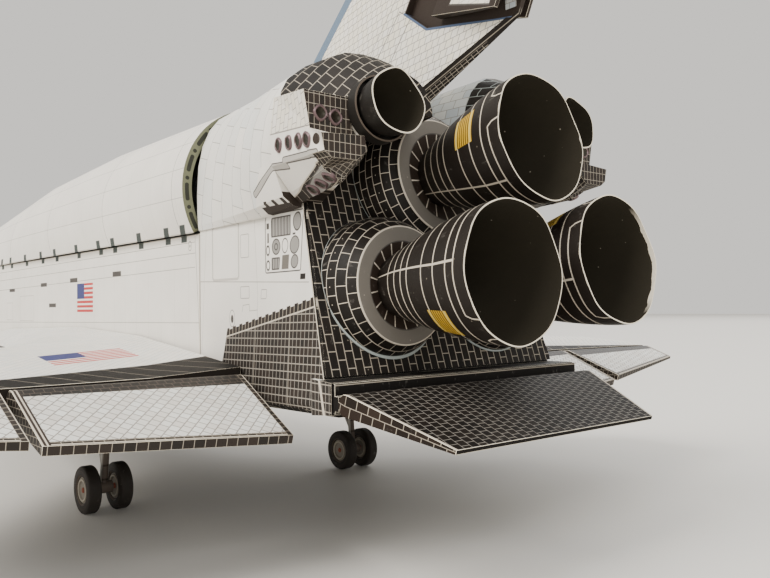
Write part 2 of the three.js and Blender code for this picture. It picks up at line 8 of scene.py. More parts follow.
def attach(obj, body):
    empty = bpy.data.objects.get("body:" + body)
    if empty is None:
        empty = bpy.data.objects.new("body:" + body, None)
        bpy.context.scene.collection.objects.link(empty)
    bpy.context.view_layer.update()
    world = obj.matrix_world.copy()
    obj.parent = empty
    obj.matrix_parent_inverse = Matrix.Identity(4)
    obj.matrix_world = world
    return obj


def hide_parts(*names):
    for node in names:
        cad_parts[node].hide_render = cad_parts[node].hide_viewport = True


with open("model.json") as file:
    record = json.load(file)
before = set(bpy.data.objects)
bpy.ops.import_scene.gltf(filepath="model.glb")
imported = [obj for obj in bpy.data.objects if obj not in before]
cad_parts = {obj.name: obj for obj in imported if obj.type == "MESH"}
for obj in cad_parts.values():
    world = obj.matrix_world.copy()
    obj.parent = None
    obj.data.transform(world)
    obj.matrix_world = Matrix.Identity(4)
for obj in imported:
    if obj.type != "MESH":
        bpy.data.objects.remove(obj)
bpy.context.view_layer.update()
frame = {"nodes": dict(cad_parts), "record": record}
print("frame loaded:", len(frame["nodes"]), "pieces")

mm = 0.001
record = frame["record"]
bodyOfNode = {node: body for body, nodes in record["behaviour"]["bodies"].items() for node in nodes}
bothSides = (("port", 1), ("starboard", -1))


def ink(code):
    # screen colour code to the linear numbers that shaders use
    level = np.array([int(code[i:i + 2], 16) for i in (1, 3, 5)]) / 255
    level = np.where(level < 0.04045, level / 12.92, ((level + 0.055) / 1.055) ** 2.4)
    return (*(float(c) for c in level), 1.0)


inks = {name: ink(code) for name, code in {
    "paper": "#ebe7df", "paperCool": "#dfe0dc", "paperWarm": "#e9e3d2", "cutEdge": "#e6ddca",
    "faint": "#c3beb6", "line": "#8d8881", "darkLine": "#4b4744", "shade": "#b4b0a9", "paleShade": "#d3cfc8",
    "tileBlack": "#14110f", "tileSoft": "#1f1a16", "tileBrown": "#2e251f", "tileBrownSoft": "#3f342c",
    "joint": "#a59c8e", "jointPale": "#cbc1b1", "jointCool": "#aab2b0", "charcoal": "#1d1a17",
    "soot": "#2c281f", "annulus": "#6b665f", "edgeBlue": "#4c5c78", "leadBlue": "#66788c",
    "sideBlue": "#b9c3ca", "yellow": "#c9a02c", "yellowPale": "#d8bd62", "ochre": "#4a3a18", "red": "#bf3f3f",
    "blue": "#3c4070",
    "olive": "#6d6f58", "oliveDark": "#2b2c24", "glass": "#14171c", "foil": "#b9bcc0", "bayPaint": "#b7bcae",
    "tyre": "#2c2723", "hub": "#8d867a", "hubPale": "#b3ab9c", "hubRed": "#8a4a38", "strut": "#5f554c",
    "rimMetal": "#6d5a5c", "greyPanel": "#93908b", "markInk": "#3d4442"}.items()}
# printed bricks: two inks for the bricks and one for the joints
palettes = {
    "black": ("tileBlack", "tileSoft", "joint"), "blackPale": ("tileBlack", "tileSoft", "jointPale"),
    "blackCool": ("tileBlack", "tileSoft", "jointCool"), "blackGrey": ("tileBlack", "tileSoft", "line"),
    "blackDim": ("tileBlack", "tileSoft", "strut"), "brown": ("tileBrown", "tileSoft", "joint"),
    "softBrown": ("tileSoft", "tileBrown", "joint"), "brownGrey": ("tileSoft", "tileBrown", "line"),
    "white": ("paper", "paperCool", "line"), "whitePale": ("paper", "paperCool", "paleShade"),
    "warm": ("paperWarm", "paper", "line"), "warmPale": ("paperWarm", "paper", "shade"),
    "cool": ("paperCool", "paper", "shade"), "coolBlue": ("paperCool", "sideBlue", "line"),
    "greyBlue": ("paleShade", "sideBlue", "line"), "grey": ("paleShade", "paperCool", "line"),
    "greyDark": ("paleShade", "paperCool", "greyPanel")}


class NodeValue:
    # a value inside a node tree: + - * / put a Math node after it
    def __init__(self, socket):
        self.socket = socket

    def __add__(self, other):
        return calc("ADD", self, other)

    def __radd__(self, other):
        return calc("ADD", other, self)

    def __sub__(self, other):
        return calc("SUBTRACT", self, other)

    def __rsub__(self, other):
        return calc("SUBTRACT", other, self)

    def __mul__(self, other):
        return calc("MULTIPLY", self, other)

    def __rmul__(self, other):
        return calc("MULTIPLY", other, self)

    def __truediv__(self, other):
        return calc("DIVIDE", self, other)


def plug(socket, value):
    # a NodeValue is linked to the socket, anything else is typed into it
    if isinstance(value, NodeValue):
        socket.id_data.links.new(value.socket, socket)
    else:
        socket.default_value = value


def addNode(tree, kind, inputs, **settings):
    made = tree.nodes.new(kind)
    for name, value in settings.items():
        setattr(made, name, value)
    for name, value in inputs.items():
        plug(made.inputs[name], value)
    return made


def treeOf(*values):
    return next(v.socket.id_data for v in values if isinstance(v, NodeValue))


def calc(kind, *values, clamped=False):
    made = addNode(treeOf(*values), "ShaderNodeMath", dict(enumerate(values)), operation=kind, use_clamp=clamped)
    return NodeValue(made.outputs[0])


def rise(value, edge, soft=0.06):
    # 0 below the edge, 1 above it, straight between across the soft width
    if isinstance(edge, NodeValue):
        value, edge = value - edge, 0.0
    return calc("MULTIPLY_ADD", value, 1 / soft, 0.5 - edge / soft, clamped=True)


def fall(value, edge, soft=0.06):
    if isinstance(edge, NodeValue):
        value, edge = value - edge, 0.0
    return calc("MULTIPLY_ADD", value, -1 / soft, 0.5 + edge / soft, clamped=True)


def band(value, low, high, soft=0.06):
    return rise(value, low, soft) * fall(value, high, soft)


def size(value):
    return calc("ABSOLUTE", value)


def larger(*values):
    most = values[0]
    for other in values[1:]:
        most = calc("MAXIMUM", most, other)
    return most


def smaller(*values):
    least = values[0]
    for other in values[1:]:
        least = calc("MINIMUM", least, other)
    return least


def hypot(one, two):
    return calc("SQRT", one * one + two * two)


def nearestEdge(share):
    # distance to the nearest whole number
    return 0.5 - size(calc("FRACT", share) - 0.5)


def diagonals(one, two):
    # two directions turned by 45 degrees
    return (one + two) * 0.7071, (one - two) * 0.7071


def mixInk(mask, under, over, way="MIX"):
    made = addNode(treeOf(mask, under, over), "ShaderNodeMix", {}, data_type="RGBA", blend_type=way)
    plug(made.inputs[0], mask)
    plug(made.inputs[6], under)
    plug(made.inputs[7], over)
    return NodeValue(made.outputs[2])


def joined(tree, a, b, c):
    return NodeValue(addNode(tree, "ShaderNodeCombineXYZ", {"X": a, "Y": b, "Z": c}).outputs[0])


def parted(vector):
    made = addNode(treeOf(vector), "ShaderNodeSeparateXYZ", {"Vector": vector})
    return [NodeValue(out) for out in made.outputs]


def nodeGroup(name, inputs, outputs, recipe):
    # recipe(inputs...) returns one value per output; (0, 0, 0) as a start value makes a vector socket
    group = bpy.data.node_groups.new(name, "ShaderNodeTree")
    for title, start in inputs.items():
        kind = "NodeSocketVector" if isinstance(start, tuple) else "NodeSocketFloat"
        group.interface.new_socket(title, in_out="INPUT", socket_type=kind).default_value = start
    for title in outputs:
        group.interface.new_socket(title, in_out="OUTPUT", socket_type="NodeSocketFloat")
    start = group.nodes.new("NodeGroupInput")
    end = group.nodes.new("NodeGroupOutput")
    values = recipe(*(NodeValue(start.outputs[title]) for title in inputs))
    for title, value in zip(outputs, values):
        plug(end.inputs[title], value)
    return group


def brickRecipe(along, across, length, height, line, shift, seed):
    # courses of the given height, each moved on by shift brick lengths: a joint is where the nearest
    # edge is closer than half the line, and every brick draws its own number from white noise
    row = calc("FLOOR", across / height)
    lane = along / length + row * shift
    joint = fall(smaller(nearestEdge(lane) * length, nearestEdge(across / height) * height), line * 0.5, 0.05)
    key = joined(treeOf(row), calc("FLOOR", lane), row, seed)
    tone = addNode(treeOf(row), "ShaderNodeTexWhiteNoise", {"Vector": key}, noise_dimensions="3D")
    return joint, NodeValue(tone.outputs["Value"])


def strokeRecipe(along, across, a0, b0, a1, b1, width):
    # distance from the straight segment between (a0, b0) and (a1, b1), less than half the width
    runA, runB = a1 - a0, b1 - b0
    share = calc("DIVIDE", (along - a0) * runA + (across - b0) * runB, runA * runA + runB * runB, clamped=True)
    offA = along - a0 - runA * share
    offB = across - b0 - runB * share
    return (fall(hypot(offA, offB), width * 0.5, 0.05),)


def boxDistance(along, across, a0, b0, a1, b1, corner):
    # signed distance from a rectangle with round corners, below zero inside
    outA = size(along - (a0 + a1) * 0.5) - (a1 - a0) * 0.5 + corner
    outB = size(across - (b0 + b1) * 0.5) - (b1 - b0) * 0.5 + corner
    farA, farB = larger(outA, 0.0), larger(outB, 0.0)
    return hypot(farA, farB) + smaller(larger(outA, outB), 0.0) - corner


def boxRecipe(along, across, a0, b0, a1, b1, corner):
    return (fall(boxDistance(along, across, a0, b0, a1, b1, corner), 0.0, 0.06),)


def frameRecipe(along, across, a0, b0, a1, b1, line):
    # the rim of a rectangle with corners rounded by twice the line
    distance = boxDistance(along, across, a0, b0, a1, b1, line * 2)
    return (fall(size(distance + line * 0.5), line * 0.5, 0.05),)


def ovalRecipe(along, across, a0, b0, a1, b1, line):
    # ellipse in the box from (a0, b0) to (a1, b1): a disc where line is 0, otherwise a ring of that line
    partA = (along - (a0 + a1) * 0.5) / ((a1 - a0) * 0.5)
    partB = (across - (b0 + b1) * 0.5) / ((b1 - b0) * 0.5)
    distance = (hypot(partA, partB) - 1.0) * (a1 - a0) * 0.5
    disc = fall(distance, 0.0, 0.06)
    ring = fall(size(distance), line * 0.5, 0.05)
    hollow = rise(line, 0.01, 0.01)
    return (disc + (ring - disc) * hollow,)


def halfRecipe(along, across, a0, b0, a1, b1, _):
    # 1 to the left of the line that runs from (a0, b0) towards (a1, b1)
    runA, runB = a1 - a0, b1 - b0
    distance = (runA * (across - b0) - runB * (along - a0)) / hypot(runA, runB)
    return (rise(distance, 0.0, 0.06),)


def noise(place, scale, detail, roughness=0.5):
    made = addNode(treeOf(place), "ShaderNodeTexNoise",
                   {"Vector": place, "Scale": scale, "Detail": detail, "Roughness": roughness})
    return NodeValue(made.outputs["Fac"])


def fibreRecipe(place):
    # card at three scales, in mm: cloudy tone, fine fibres and rare dust specks
    dust = addNode(treeOf(place), "ShaderNodeTexVoronoi", {"Vector": place, "Scale": 0.34}, feature="F1")
    speck = fall(NodeValue(dust.outputs["Distance"]), 0.045, 0.03)
    return noise(place, 0.09, 3.0), noise(place, 2.4, 4.0, 0.65), speck


def rubRecipe(place, amount):
    # rubbed ink: stretched noise over a threshold, so that pale scuffs show along one direction
    stretched = addNode(treeOf(place), "ShaderNodeVectorMath", {0: place, 1: (1.0, 0.35, 0.6)}, operation="MULTIPLY")
    level = noise(NodeValue(stretched.outputs[0]), 0.8, 6.0, 0.72)
    return (calc("MULTIPLY", rise(level, 0.66, 0.12), amount, clamped=True),)


markInputs = {"Along": 0.0, "Across": 0.0, "A0": 0.0, "B0": 0.0, "A1": 1.0, "B1": 1.0, "Size": 0.2}
markGroups = {kind: nodeGroup("print" + kind.capitalize(), markInputs, ["Mask"], recipe)
              for kind, recipe in {"stroke": strokeRecipe, "box": boxRecipe, "frame": frameRecipe,
                                   "oval": ovalRecipe, "half": halfRecipe}.items()}
brickGroup = nodeGroup("brickCourses", {"Along": 0.0, "Across": 0.0, "Length": 2.0, "Height": 1.0, "Line": 0.1,
                                        "Shift": 0.5, "Seed": 0.0}, ["Joint", "Tone"], brickRecipe)
fibreGroup = nodeGroup("cardFibre", {"Place": (0.0, 0.0, 0.0)}, ["Cloud", "Fibre", "Speck"], fibreRecipe)
rubGroup = nodeGroup("rubbedInk", {"Place": (0.0, 0.0, 0.0), "Amount": 0.5}, ["Mask"], rubRecipe)


def useGroup(tree, group, *values):
    made = tree.nodes.new("ShaderNodeGroup")
    made.node_tree = group
    for socket, value in zip(made.inputs, values):
        plug(socket, value)
    return [NodeValue(out) for out in made.outputs]


class PrintedCard:
    # a sheet of card being printed: bare paper first, then coats of ink under masks, places in mm
    def __init__(self, name, paper="paper", uvMap=None):
        self.material = bpy.data.materials.new(name)
        self.material.use_nodes = True
        self.tree = self.material.node_tree
        self.shader = self.tree.nodes["Principled BSDF"]
        texture = self.tree.nodes.new("ShaderNodeTexCoord")
        metres = NodeValue(texture.outputs["Object"])
        scaled = addNode(self.tree, "ShaderNodeVectorMath", {0: metres}, operation="SCALE")
        scaled.inputs["Scale"].default_value = 1000
        self.place = NodeValue(scaled.outputs[0])
        self.x, self.y, self.z = parted(self.place)
        self.faceX, self.faceY, self.faceZ = parted(NodeValue(texture.outputs["Normal"]))
        self.colour = inks[paper]
        self.height = None
        if uvMap:
            uv = addNode(self.tree, "ShaderNodeUVMap", {}, uv_map=uvMap)
            self.u, self.v, _ = parted(NodeValue(uv.outputs[0]))

    def mask(self, kind, along, across, a0, b0, a1, b1, size=0.2):
        return useGroup(self.tree, markGroups[kind], along, across, a0, b0, a1, b1, size)[0]

    def coat(self, mask, colour):
        self.colour = mixInk(mask, self.colour, inks[colour] if isinstance(colour, str) else colour)

    def marks(self, along, across, groups, region=None):
        # groups: (kind, width, ink) with all the places (a0, b0, a1, b1) that are drawn so
        for (kind, width, colour), places in groups.items():
            for corners in places:
                mask = self.mask(kind, along, across, *corners, width)
                self.coat(mask if region is None else mask * region, colour)

    def bricks(self, along, across, layout, region=None):
        # layout: length, height, line, shift from course to course, palette, seed
        *numbers, palette, seed = layout
        joint, tone = useGroup(self.tree, brickGroup, along, across, *numbers, seed)
        dark, light, mortar = (inks[name] for name in palettes[palette])
        laid = mixInk(joint, mixInk(tone, dark, light), mortar)
        if region is None:
            self.colour = laid
        else:
            self.coat(region, laid)

    def sideways(self, edge=0.6):
        # 1 on faces that look to port or starboard
        return rise(size(self.faceX), edge, 0.1)

    def line(self, value, place, half, colour, region=None, soft=0.06):
        # a line where value is place, half wide to either side
        mask = fall(size(value - place) if place else size(value), half, soft)
        self.coat(mask if region is None else mask * region, colour)

    def repeat(self, value, step, width, colour, region=None, start=0.0):
        # thin lines every step along value
        mask = fall(nearestEdge((value - start) / step) * step, width / 2)
        self.coat(mask if region is None else mask * region, colour)

    def finish(self, rough=0.66, rub=0.0, dust=0.0, grain=0.35, cloudy=0.1, gloss=0.3):
        cloud, fibre, speck = useGroup(self.tree, fibreGroup, self.place)
        if rub:
            scuffed = useGroup(self.tree, rubGroup, self.place, rub)[0]
            self.colour = mixInk(scuffed, self.colour, inks["line"])
        if dust:
            self.colour = mixInk(speck * dust, self.colour, inks["joint"])
        tone = (cloud * 2.0 * cloudy + fibre * 0.08) + (0.96 - cloudy)
        self.colour = mixInk(1.0, self.colour, tone, "MULTIPLY")
        self.shader.inputs["Specular IOR Level"].default_value = gloss
        plug(self.shader.inputs["Base Color"], self.colour)
        plug(self.shader.inputs["Roughness"], fibre * 0.22 + (rough - 0.11))
        bump = addNode(self.tree, "ShaderNodeBump",
                       {"Height": fibre + cloud * 2.0, "Distance": 0.00005, "Strength": grain})
        plug(self.shader.inputs["Normal"], NodeValue(bump.outputs[0]))
        return self.material


def plainCard(name, paper, **finish):
    return PrintedCard(name, paper).finish(**finish)


cutEdge = plainCard("cutCardEdge", "cutEdge", rough=0.8, cloudy=0.14)


# shapes

def placed(name, data):
    made = bpy.data.objects.new(name, data)
    bpy.context.scene.collection.objects.link(made)
    return made


def sheetMesh(name, points, materials, uv=None, sharp=35, keepOpen=False):
    # points[row, column] in mm becomes quads; doubles at seams and poles are merged afterwards
    rows, columns = points.shape[:2]
    index = np.arange(rows * columns).reshape(rows, columns)
    corners = np.stack([index[:-1, :-1], index[1:, :-1], index[1:, 1:], index[:-1, 1:]], -1).reshape(-1, 4)
    mesh = bpy.data.meshes.new(name)
    mesh.from_pydata((points.reshape(-1, 3) * mm).tolist(), [], corners.tolist())
    if uv is not None:
        layer = mesh.uv_layers.new(name="print")
        layer.data.foreach_set("uv", uv.reshape(-1, 2)[corners.ravel()].astype(np.float32).ravel())
    for material in materials:
        mesh.materials.append(material)
    tidyMesh(mesh, 2e-6, sharp, turn=not keepOpen)
    return placed(name, mesh)


def tidyMesh(mesh, reach, sharp, turn=False, flatten=0.0):
    work = bmesh.new()
    work.from_mesh(mesh)
    bmesh.ops.remove_doubles(work, verts=work.verts, dist=reach)
    if flatten:
        bmesh.ops.dissolve_limit(work, angle_limit=np.radians(flatten), verts=work.verts, edges=work.edges)
    if turn:
        bmesh.ops.recalc_face_normals(work, faces=work.faces)
    for face in work.faces:
        face.smooth = True
    for edge in work.edges:
        edge.smooth = len(edge.link_faces) == 2 and edge.calc_face_angle(0) < np.radians(sharp)
    work.to_mesh(mesh)
    work.free()


def shown(piece, node, *others):
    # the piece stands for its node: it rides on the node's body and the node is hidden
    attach(piece, bodyOfNode[node])
    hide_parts(node, *others)
    return piece


def joinedPiece(pieces, name):
    with bpy.context.temp_override(active_object=pieces[0], selected_editable_objects=pieces, object=pieces[0]):
        bpy.ops.object.join()
    pieces[0].name = name
    return pieces[0]


def cardCopy(node, material, crease=0.0, sharp=40, flatten=0.0):
    # a merged copy of the node; its folds are bevelled and show the bare card, crease is their width in mm
    mesh = frame["nodes"][node].data.copy()
    mesh.name = node + ".card"
    mesh.materials.clear()
    mesh.materials.append(material)
    mesh.materials.append(cutEdge)
    mesh.polygons.foreach_set("material_index", np.zeros(len(mesh.polygons), np.int32))
    while mesh.attributes.get("custom_normal"):
        mesh.attributes.remove(mesh.attributes["custom_normal"])
    tidyMesh(mesh, 1e-5, sharp, flatten=flatten)
    piece = placed(node + ".card", mesh)
    if crease:
        bevel = piece.modifiers.new("crease", "BEVEL")
        bevel.width = crease * mm
        bevel.limit_method = "ANGLE"
        bevel.angle_limit = np.radians(sharp)
        bevel.material = 1
    return shown(piece, node)


def thicken(piece, wall):
    # card of the given thickness, grown inwards: the second material inside, the third on the rim
    solid = piece.modifiers.new("card", "SOLIDIFY")
    solid.thickness = wall * mm
    solid.offset = -1
    solid.use_even_offset = True
    solid.material_offset = 1
    solid.material_offset_rim = 2
    return piece


def curveThrough(places, values, at):
    # cubic through the table: the slope at a station is the mean slope beside it
    slopes = np.gradient(values, places)
    cell = np.clip(np.searchsorted(places, at) - 1, 0, len(places) - 2)
    gap = places[cell + 1] - places[cell]
    t = (at - places[cell]) / gap
    first = (1 + 2 * t) * (1 - t) ** 2 * values[cell] + t * (1 - t) ** 2 * gap * slopes[cell]
    last = t * t * (3 - 2 * t) * values[cell + 1] - t * t * (1 - t) * gap * slopes[cell + 1]
    return first + last


def arcLength(x, z):
    # distance run along a polyline, row by row
    return np.cumsum(np.hypot(np.diff(x, prepend=x[..., :1]), np.diff(z, prepend=z[..., :1])), axis=-1)


def tipped(points, at, pitch, yaw):
    # points about the +Y axis, turned up by pitch and to port by yaw, then moved to their place
    p, w = np.radians(pitch), np.radians(yaw)
    x, y, z = points[..., 0], points[..., 1], points[..., 2]
    up = y * np.sin(p) + z * np.cos(p)
    aft = y * np.cos(p) - z * np.sin(p)
    across = x * np.cos(w) + aft * np.sin(w)
    return np.stack([across + at[0], aft * np.cos(w) - x * np.sin(w) + at[1], up + at[2]], -1)


def turnedGrid(radius, along, sides):
    # a profile of radius and distance along +Y swept round in equal steps, the first column repeated last
    turn = np.linspace(0, 2 * np.pi, sides + 1)
    r, h, a = np.broadcast_arrays(np.asarray(radius)[:, None], np.asarray(along)[:, None], turn[None])
    return np.stack([r * np.sin(a), h, r * np.cos(a)], -1), np.stack([np.degrees(a), h], -1)


# fuselage

def blackUnderside(card, seed, limit=-0.55, region=None):
    # thin black bricks on every face that looks down
    down = fall(card.faceZ, limit, 0.1)
    card.bricks(card.y, card.x, (2.6, 1.6, 0.11, 0.5, "black", seed), down if region is None else down * region)


bodyPrint = {
    "hingeMarks": (-92.5, -77.7, -65.7, -47.2, -29.2, -14.8, 5.5, 23.6, 34.1, 51.8, 68, 76.7),
    "tabTop": (1.0, 67.0, 3.7, 69.2), "tabFoot": (-1.4, 65.4, 1.6, 67.0), "tabLean": 0.75,
    "marks": {
        ("stroke", 0.14, "line"): ((-99, 64.1, 82.4, 65.2), (-99, 61, 82.4, 62.6), (-99, 57.2, 82.3, 59.3),
            (-99, 45, 84.6, 46.3)),
        ("stroke", 0.16, "line"): ((82.4, 66.6, 84.5, 41.2),),
        ("box", 0.1, "darkLine"): ((-69, 56.5, -61.9, 57.7), (-31.7, 57.5, -25.1, 58.8),
            (-2.6, 58.1, 4.1, 59.5), (32.2, 58.8, 38.3, 60.2), (-23, 50.5, -16, 51.8)),
        ("frame", 0.16, "shade"): ((-55.7, 45.8, -39.3, 54.8), (-72.4, 46, -64.6, 52.5), (-95, 46.5, -84, 55)),
        ("oval", 0.16, "line"): ((79, 63.3, 80.6, 65.5),),
        ("oval", 0, "line"): ((79.5, 64, 80.1, 64.8),),
    },
    "panelStep": 7.6, "sill": 66.75, "flag": (3.7, 48.9, 17.1, 57.6),
    "bay": {"centreZ": 63.2, "radius": 23.1, "arc": 23.0, "foot": 38.0, "frameStep": 14.1, "longStep": 9.3},
}
flagShape = {"stripes": 13, "fieldStripes": 7, "fieldShare": 0.46, "redShare": 0.58}


def stripedFlag(card, along, across, corners, region):
    # stripes, and a plain blue field at the low end of along and the high end of across
    f = flagShape
    a0, b0, a1, b1 = corners
    cloth = card.mask("box", along, across, a0, b0, a1, b1, 0.05) * region
    stripe = calc("FRACT", (across - b0) * (f["stripes"] / 2 / (b1 - b0)))
    card.coat(cloth, "paper")
    card.coat(cloth * fall(stripe, f["redShare"], 0.12), "red")
    fieldFoot = b1 - (b1 - b0) * f["fieldStripes"] / f["stripes"]
    field = card.mask("box", along, across, a0, fieldFoot, a0 + (a1 - a0) * f["fieldShare"], b1, 0.02)
    card.coat(field * region, "blue")


def hingeMarks(card, region):
    # dark tabs printed across the sill and the door foot: a leaning block over an upright one
    b = bodyPrint
    leaning = card.y - (card.z - 67.3) * b["tabLean"]
    for place in b["hingeMarks"]:
        for along, (a0, b0, a1, b1) in ((leaning, b["tabTop"]), (card.y, b["tabFoot"])):
            card.coat(card.mask("box", along, card.z, place + a0, b0, place + a1, b1, 0.1) * region, "markInk")


def midBodyCard():
    b = bodyPrint
    card = PrintedCard("midBodyPrint")
    sideways = card.sideways() * rise(size(card.x), 26.2, 0.1)
    card.repeat(card.y, b["panelStep"], 0.09, "paleShade", sideways, start=3.0)
    card.marks(card.y, card.z, b["marks"], sideways)
    stripedFlag(card, card.y, card.z, b["flag"], sideways)
    card.coat(sideways * rise(card.z, b["sill"], 0.1), "line")
    hingeMarks(card, sideways)
    # the bay: painted walls with broad frames and thin stringers
    bay = b["bay"]
    offZ = card.z - bay["centreZ"]
    inside = fall(hypot(card.x, offZ), bay["radius"], 0.1) * rise(card.z, bay["foot"], 0.5)
    card.coat(inside, "bayPaint")
    for width, colour, start in ((1.5, "shade", 1.0), (0.16, "darkLine", 1.8), (0.16, "darkLine", 0.2)):
        card.repeat(card.y, bay["frameStep"], width, colour, inside, start)
    turn = calc("ARCTAN2", card.x, bay["centreZ"] - card.z) * bay["arc"]
    card.repeat(turn, bay["longStep"], 0.14, "line", inside, start=bay["longStep"] / 2)
    blackUnderside(card, 1.0)
    return card.finish()


aftPrint = {
    "marks": {
        ("frame", 0.55, "faint"): ((91, 55.6, 103.8, 68.2),),
        ("frame", 0.14, "line"): ((104.4, 60.2, 108, 65.2), (104.2, 51.6, 108.1, 54.2),
            (113.1, 51.4, 115.6, 53.4)),
        ("stroke", 0.12, "line"): ((105.3, 50.2, 108, 50.4), (108, 50.4, 108.2, 49), (108.2, 49, 111.9, 49.2),
            (105.3, 50.2, 105, 48.9)),
        ("stroke", 0.12, "shade"): ((110.3, 69, 112.2, 45),),
        ("stroke", 0.16, "line"): ((84.7, 55.8, 132.3, 54.3),),
        ("oval", 0.12, "line"): ((99.2, 45.6, 101.6, 49.2),),
        ("oval", 0, "darkLine"): ((99.8, 46.4, 101, 48.2),),
        ("stroke", 0.1, "shade"): ((88.3, 68.8, 85.6, 40),),
        ("box", 0.1, "tileSoft"): ((129, 54.9, 131, 56),),
        ("box", 1.1, "paper"): ((114.8, 56.5, 129.2, 68.4),),
        ("frame", 0.26, "darkLine"): ((114.8, 56.5, 129.2, 68.4),),
        ("box", 0.1, "greyPanel"): ((117.2, 63.6, 124.6, 67.6), (117.3, 57.1, 120.6, 59.6)),
        ("frame", 0.28, "darkLine"): ((117.2, 63.6, 124.6, 67.6), (117.3, 57.1, 120.6, 59.6)),
        ("oval", 0, "greyPanel"): ((125.6, 64.4, 128.4, 67.8), (117.6, 60.2, 120.6, 63.2),
            (124.5, 60, 128, 63.3), (125.2, 57.2, 127.9, 59.7)),
        ("oval", 0.28, "darkLine"): ((125.6, 64.4, 128.4, 67.8), (117.6, 60.2, 120.6, 63.2),
            (118.5, 61.1, 119.7, 62.3), (124.5, 60, 128, 63.3), (125.2, 57.2, 127.9, 59.7),
            (115.3, 60.2, 116.5, 62), (115.3, 57.2, 116.6, 59)),
        ("oval", 0.2, "darkLine"): ((121.4, 60.3, 123.6, 63.1),),
        ("box", 0.1, "annulus"): ((121.5, 57.1, 124.3, 59.9),),
        ("box", 0.1, "darkLine"): ((115.4, 65.4, 116.4, 66.6), (115.7, 62.6, 116.3, 64.6)),
        ("box", 0.05, "darkLine"): ((125.3, 63.6, 126.4, 64),),
    },
    # striped places of the service panel: corners, step, width
    "grilles": (((117.3, 63.7, 124.5, 67.5), 1.15, 0.3), ((117.4, 57.2, 120.5, 59.5), 1.0, 0.26)),
    "brickArea": ((96.6, 40.1), (98.2, 45.2), (133.5, 51.4)), "tooth": (2.96, 0.35),
    "bricks": (1.54, 1.48, 0.2, 0.0, "brownGrey", 3.0), "topBricks": (10.0, 1.48, 0.2, 0.0, "softBrown", 4.0),
    "courseSlope": 0.02, "topSlope": 0.17, "topLine": (43.35, 43.65), "seams": ((111.5, 0.0), (126.1, 0.03)),
    "paleEdge": (139.0, 139.9), "blackFrom": 139.15,
}
basePlane = {"y": 140.5, "z": 36.9, "slope": 0.329, "stretch": 1.053}


def alongBase(y, z):
    # y less the lean of the rear end, so that it is the same all over the base plane
    return y + (z - basePlane["z"]) * basePlane["slope"]


def aftBodyCard():
    a = aftPrint
    card = PrintedCard("aftBodyPrint")
    sideways = card.sideways()
    card.marks(card.y, card.z, a["marks"], sideways)
    for corners, step, width in a["grilles"]:
        bars = card.mask("box", card.y, card.z, *corners, 0.1) * sideways
        card.repeat(card.y, step, width, "darkLine", bars, start=117.6)
    # brown bricks of the lower side, below a rising edge with a stepped top
    low, knee, high = a["brickArea"]
    step, depth = a["tooth"]
    tooth = rise(calc("FRACT", card.y / step), 0.5, 0.04) * depth
    under = card.mask("half", card.y, card.z + tooth, *high, *knee)
    behind = card.mask("half", card.y, card.z, *knee, low[0] - 4, low[1] - 12)
    area = under * behind * sideways
    course = card.z - (card.y - low[0]) * a["courseSlope"]
    top = card.z - (card.y - 98.0) * a["topSlope"]
    lineFoot, lineTop = a["topLine"]
    card.bricks(course, card.y, a["bricks"], area)
    card.repeat(course, a["bricks"][0], 0.12, "joint", area)
    card.coat(area * band(top, lineFoot, lineTop), "jointPale")
    card.bricks(top - 42.0, card.y, a["topBricks"], area * rise(top, lineTop))
    for seam, lean in a["seams"]:
        card.line(card.y - seam + (card.z - 40) * lean, 0, 0.09, "joint", area * fall(top, 43.3), 0.1)
    toBase = alongBase(card.y, card.z)
    card.coat(sideways * band(toBase, *a["paleEdge"]), "jointPale")
    # the ledge over the flap and the rim round the base are plain black
    card.coat(rise(toBase, a["blackFrom"], 0.1) * (1.0 - sideways), "tileBlack")
    blackUnderside(card, 2.0)
    return card.finish(rough=0.64)


noseShape = {
    "columns": ("y", "half", "bottom", "sill", "top", "corner"),
    "stations": (
        (-187.0, 2.0, 45.6, 47.4, 49.0, 0.9), (-186.0, 4.8, 42.8, 47.6, 51.8, 2.0),
        (-183.4, 8.1, 39.9, 48.2, 55.4, 3.4), (-177.2, 12.4, 36.4, 49.6, 60.2, 4.8),
        (-168.3, 16.4, 33.6, 51.6, 64.8, 5.6), (-158.0, 19.8, 31.6, 54.0, 69.2, 6.0),
        (-147.6, 22.4, 30.4, 56.8, 73.2, 5.6), (-137.0, 24.3, 29.5, 60.4, 86.0, 5.0),
        (-129.6, 25.3, 29.1, 63.0, 90.4, 4.2), (-118.0, 26.2, 28.9, 65.6, 92.2, 3.2),
        (-99.4, 26.7, 28.9, 67.0, 92.8, 2.0)),
    "rows": 96,
}


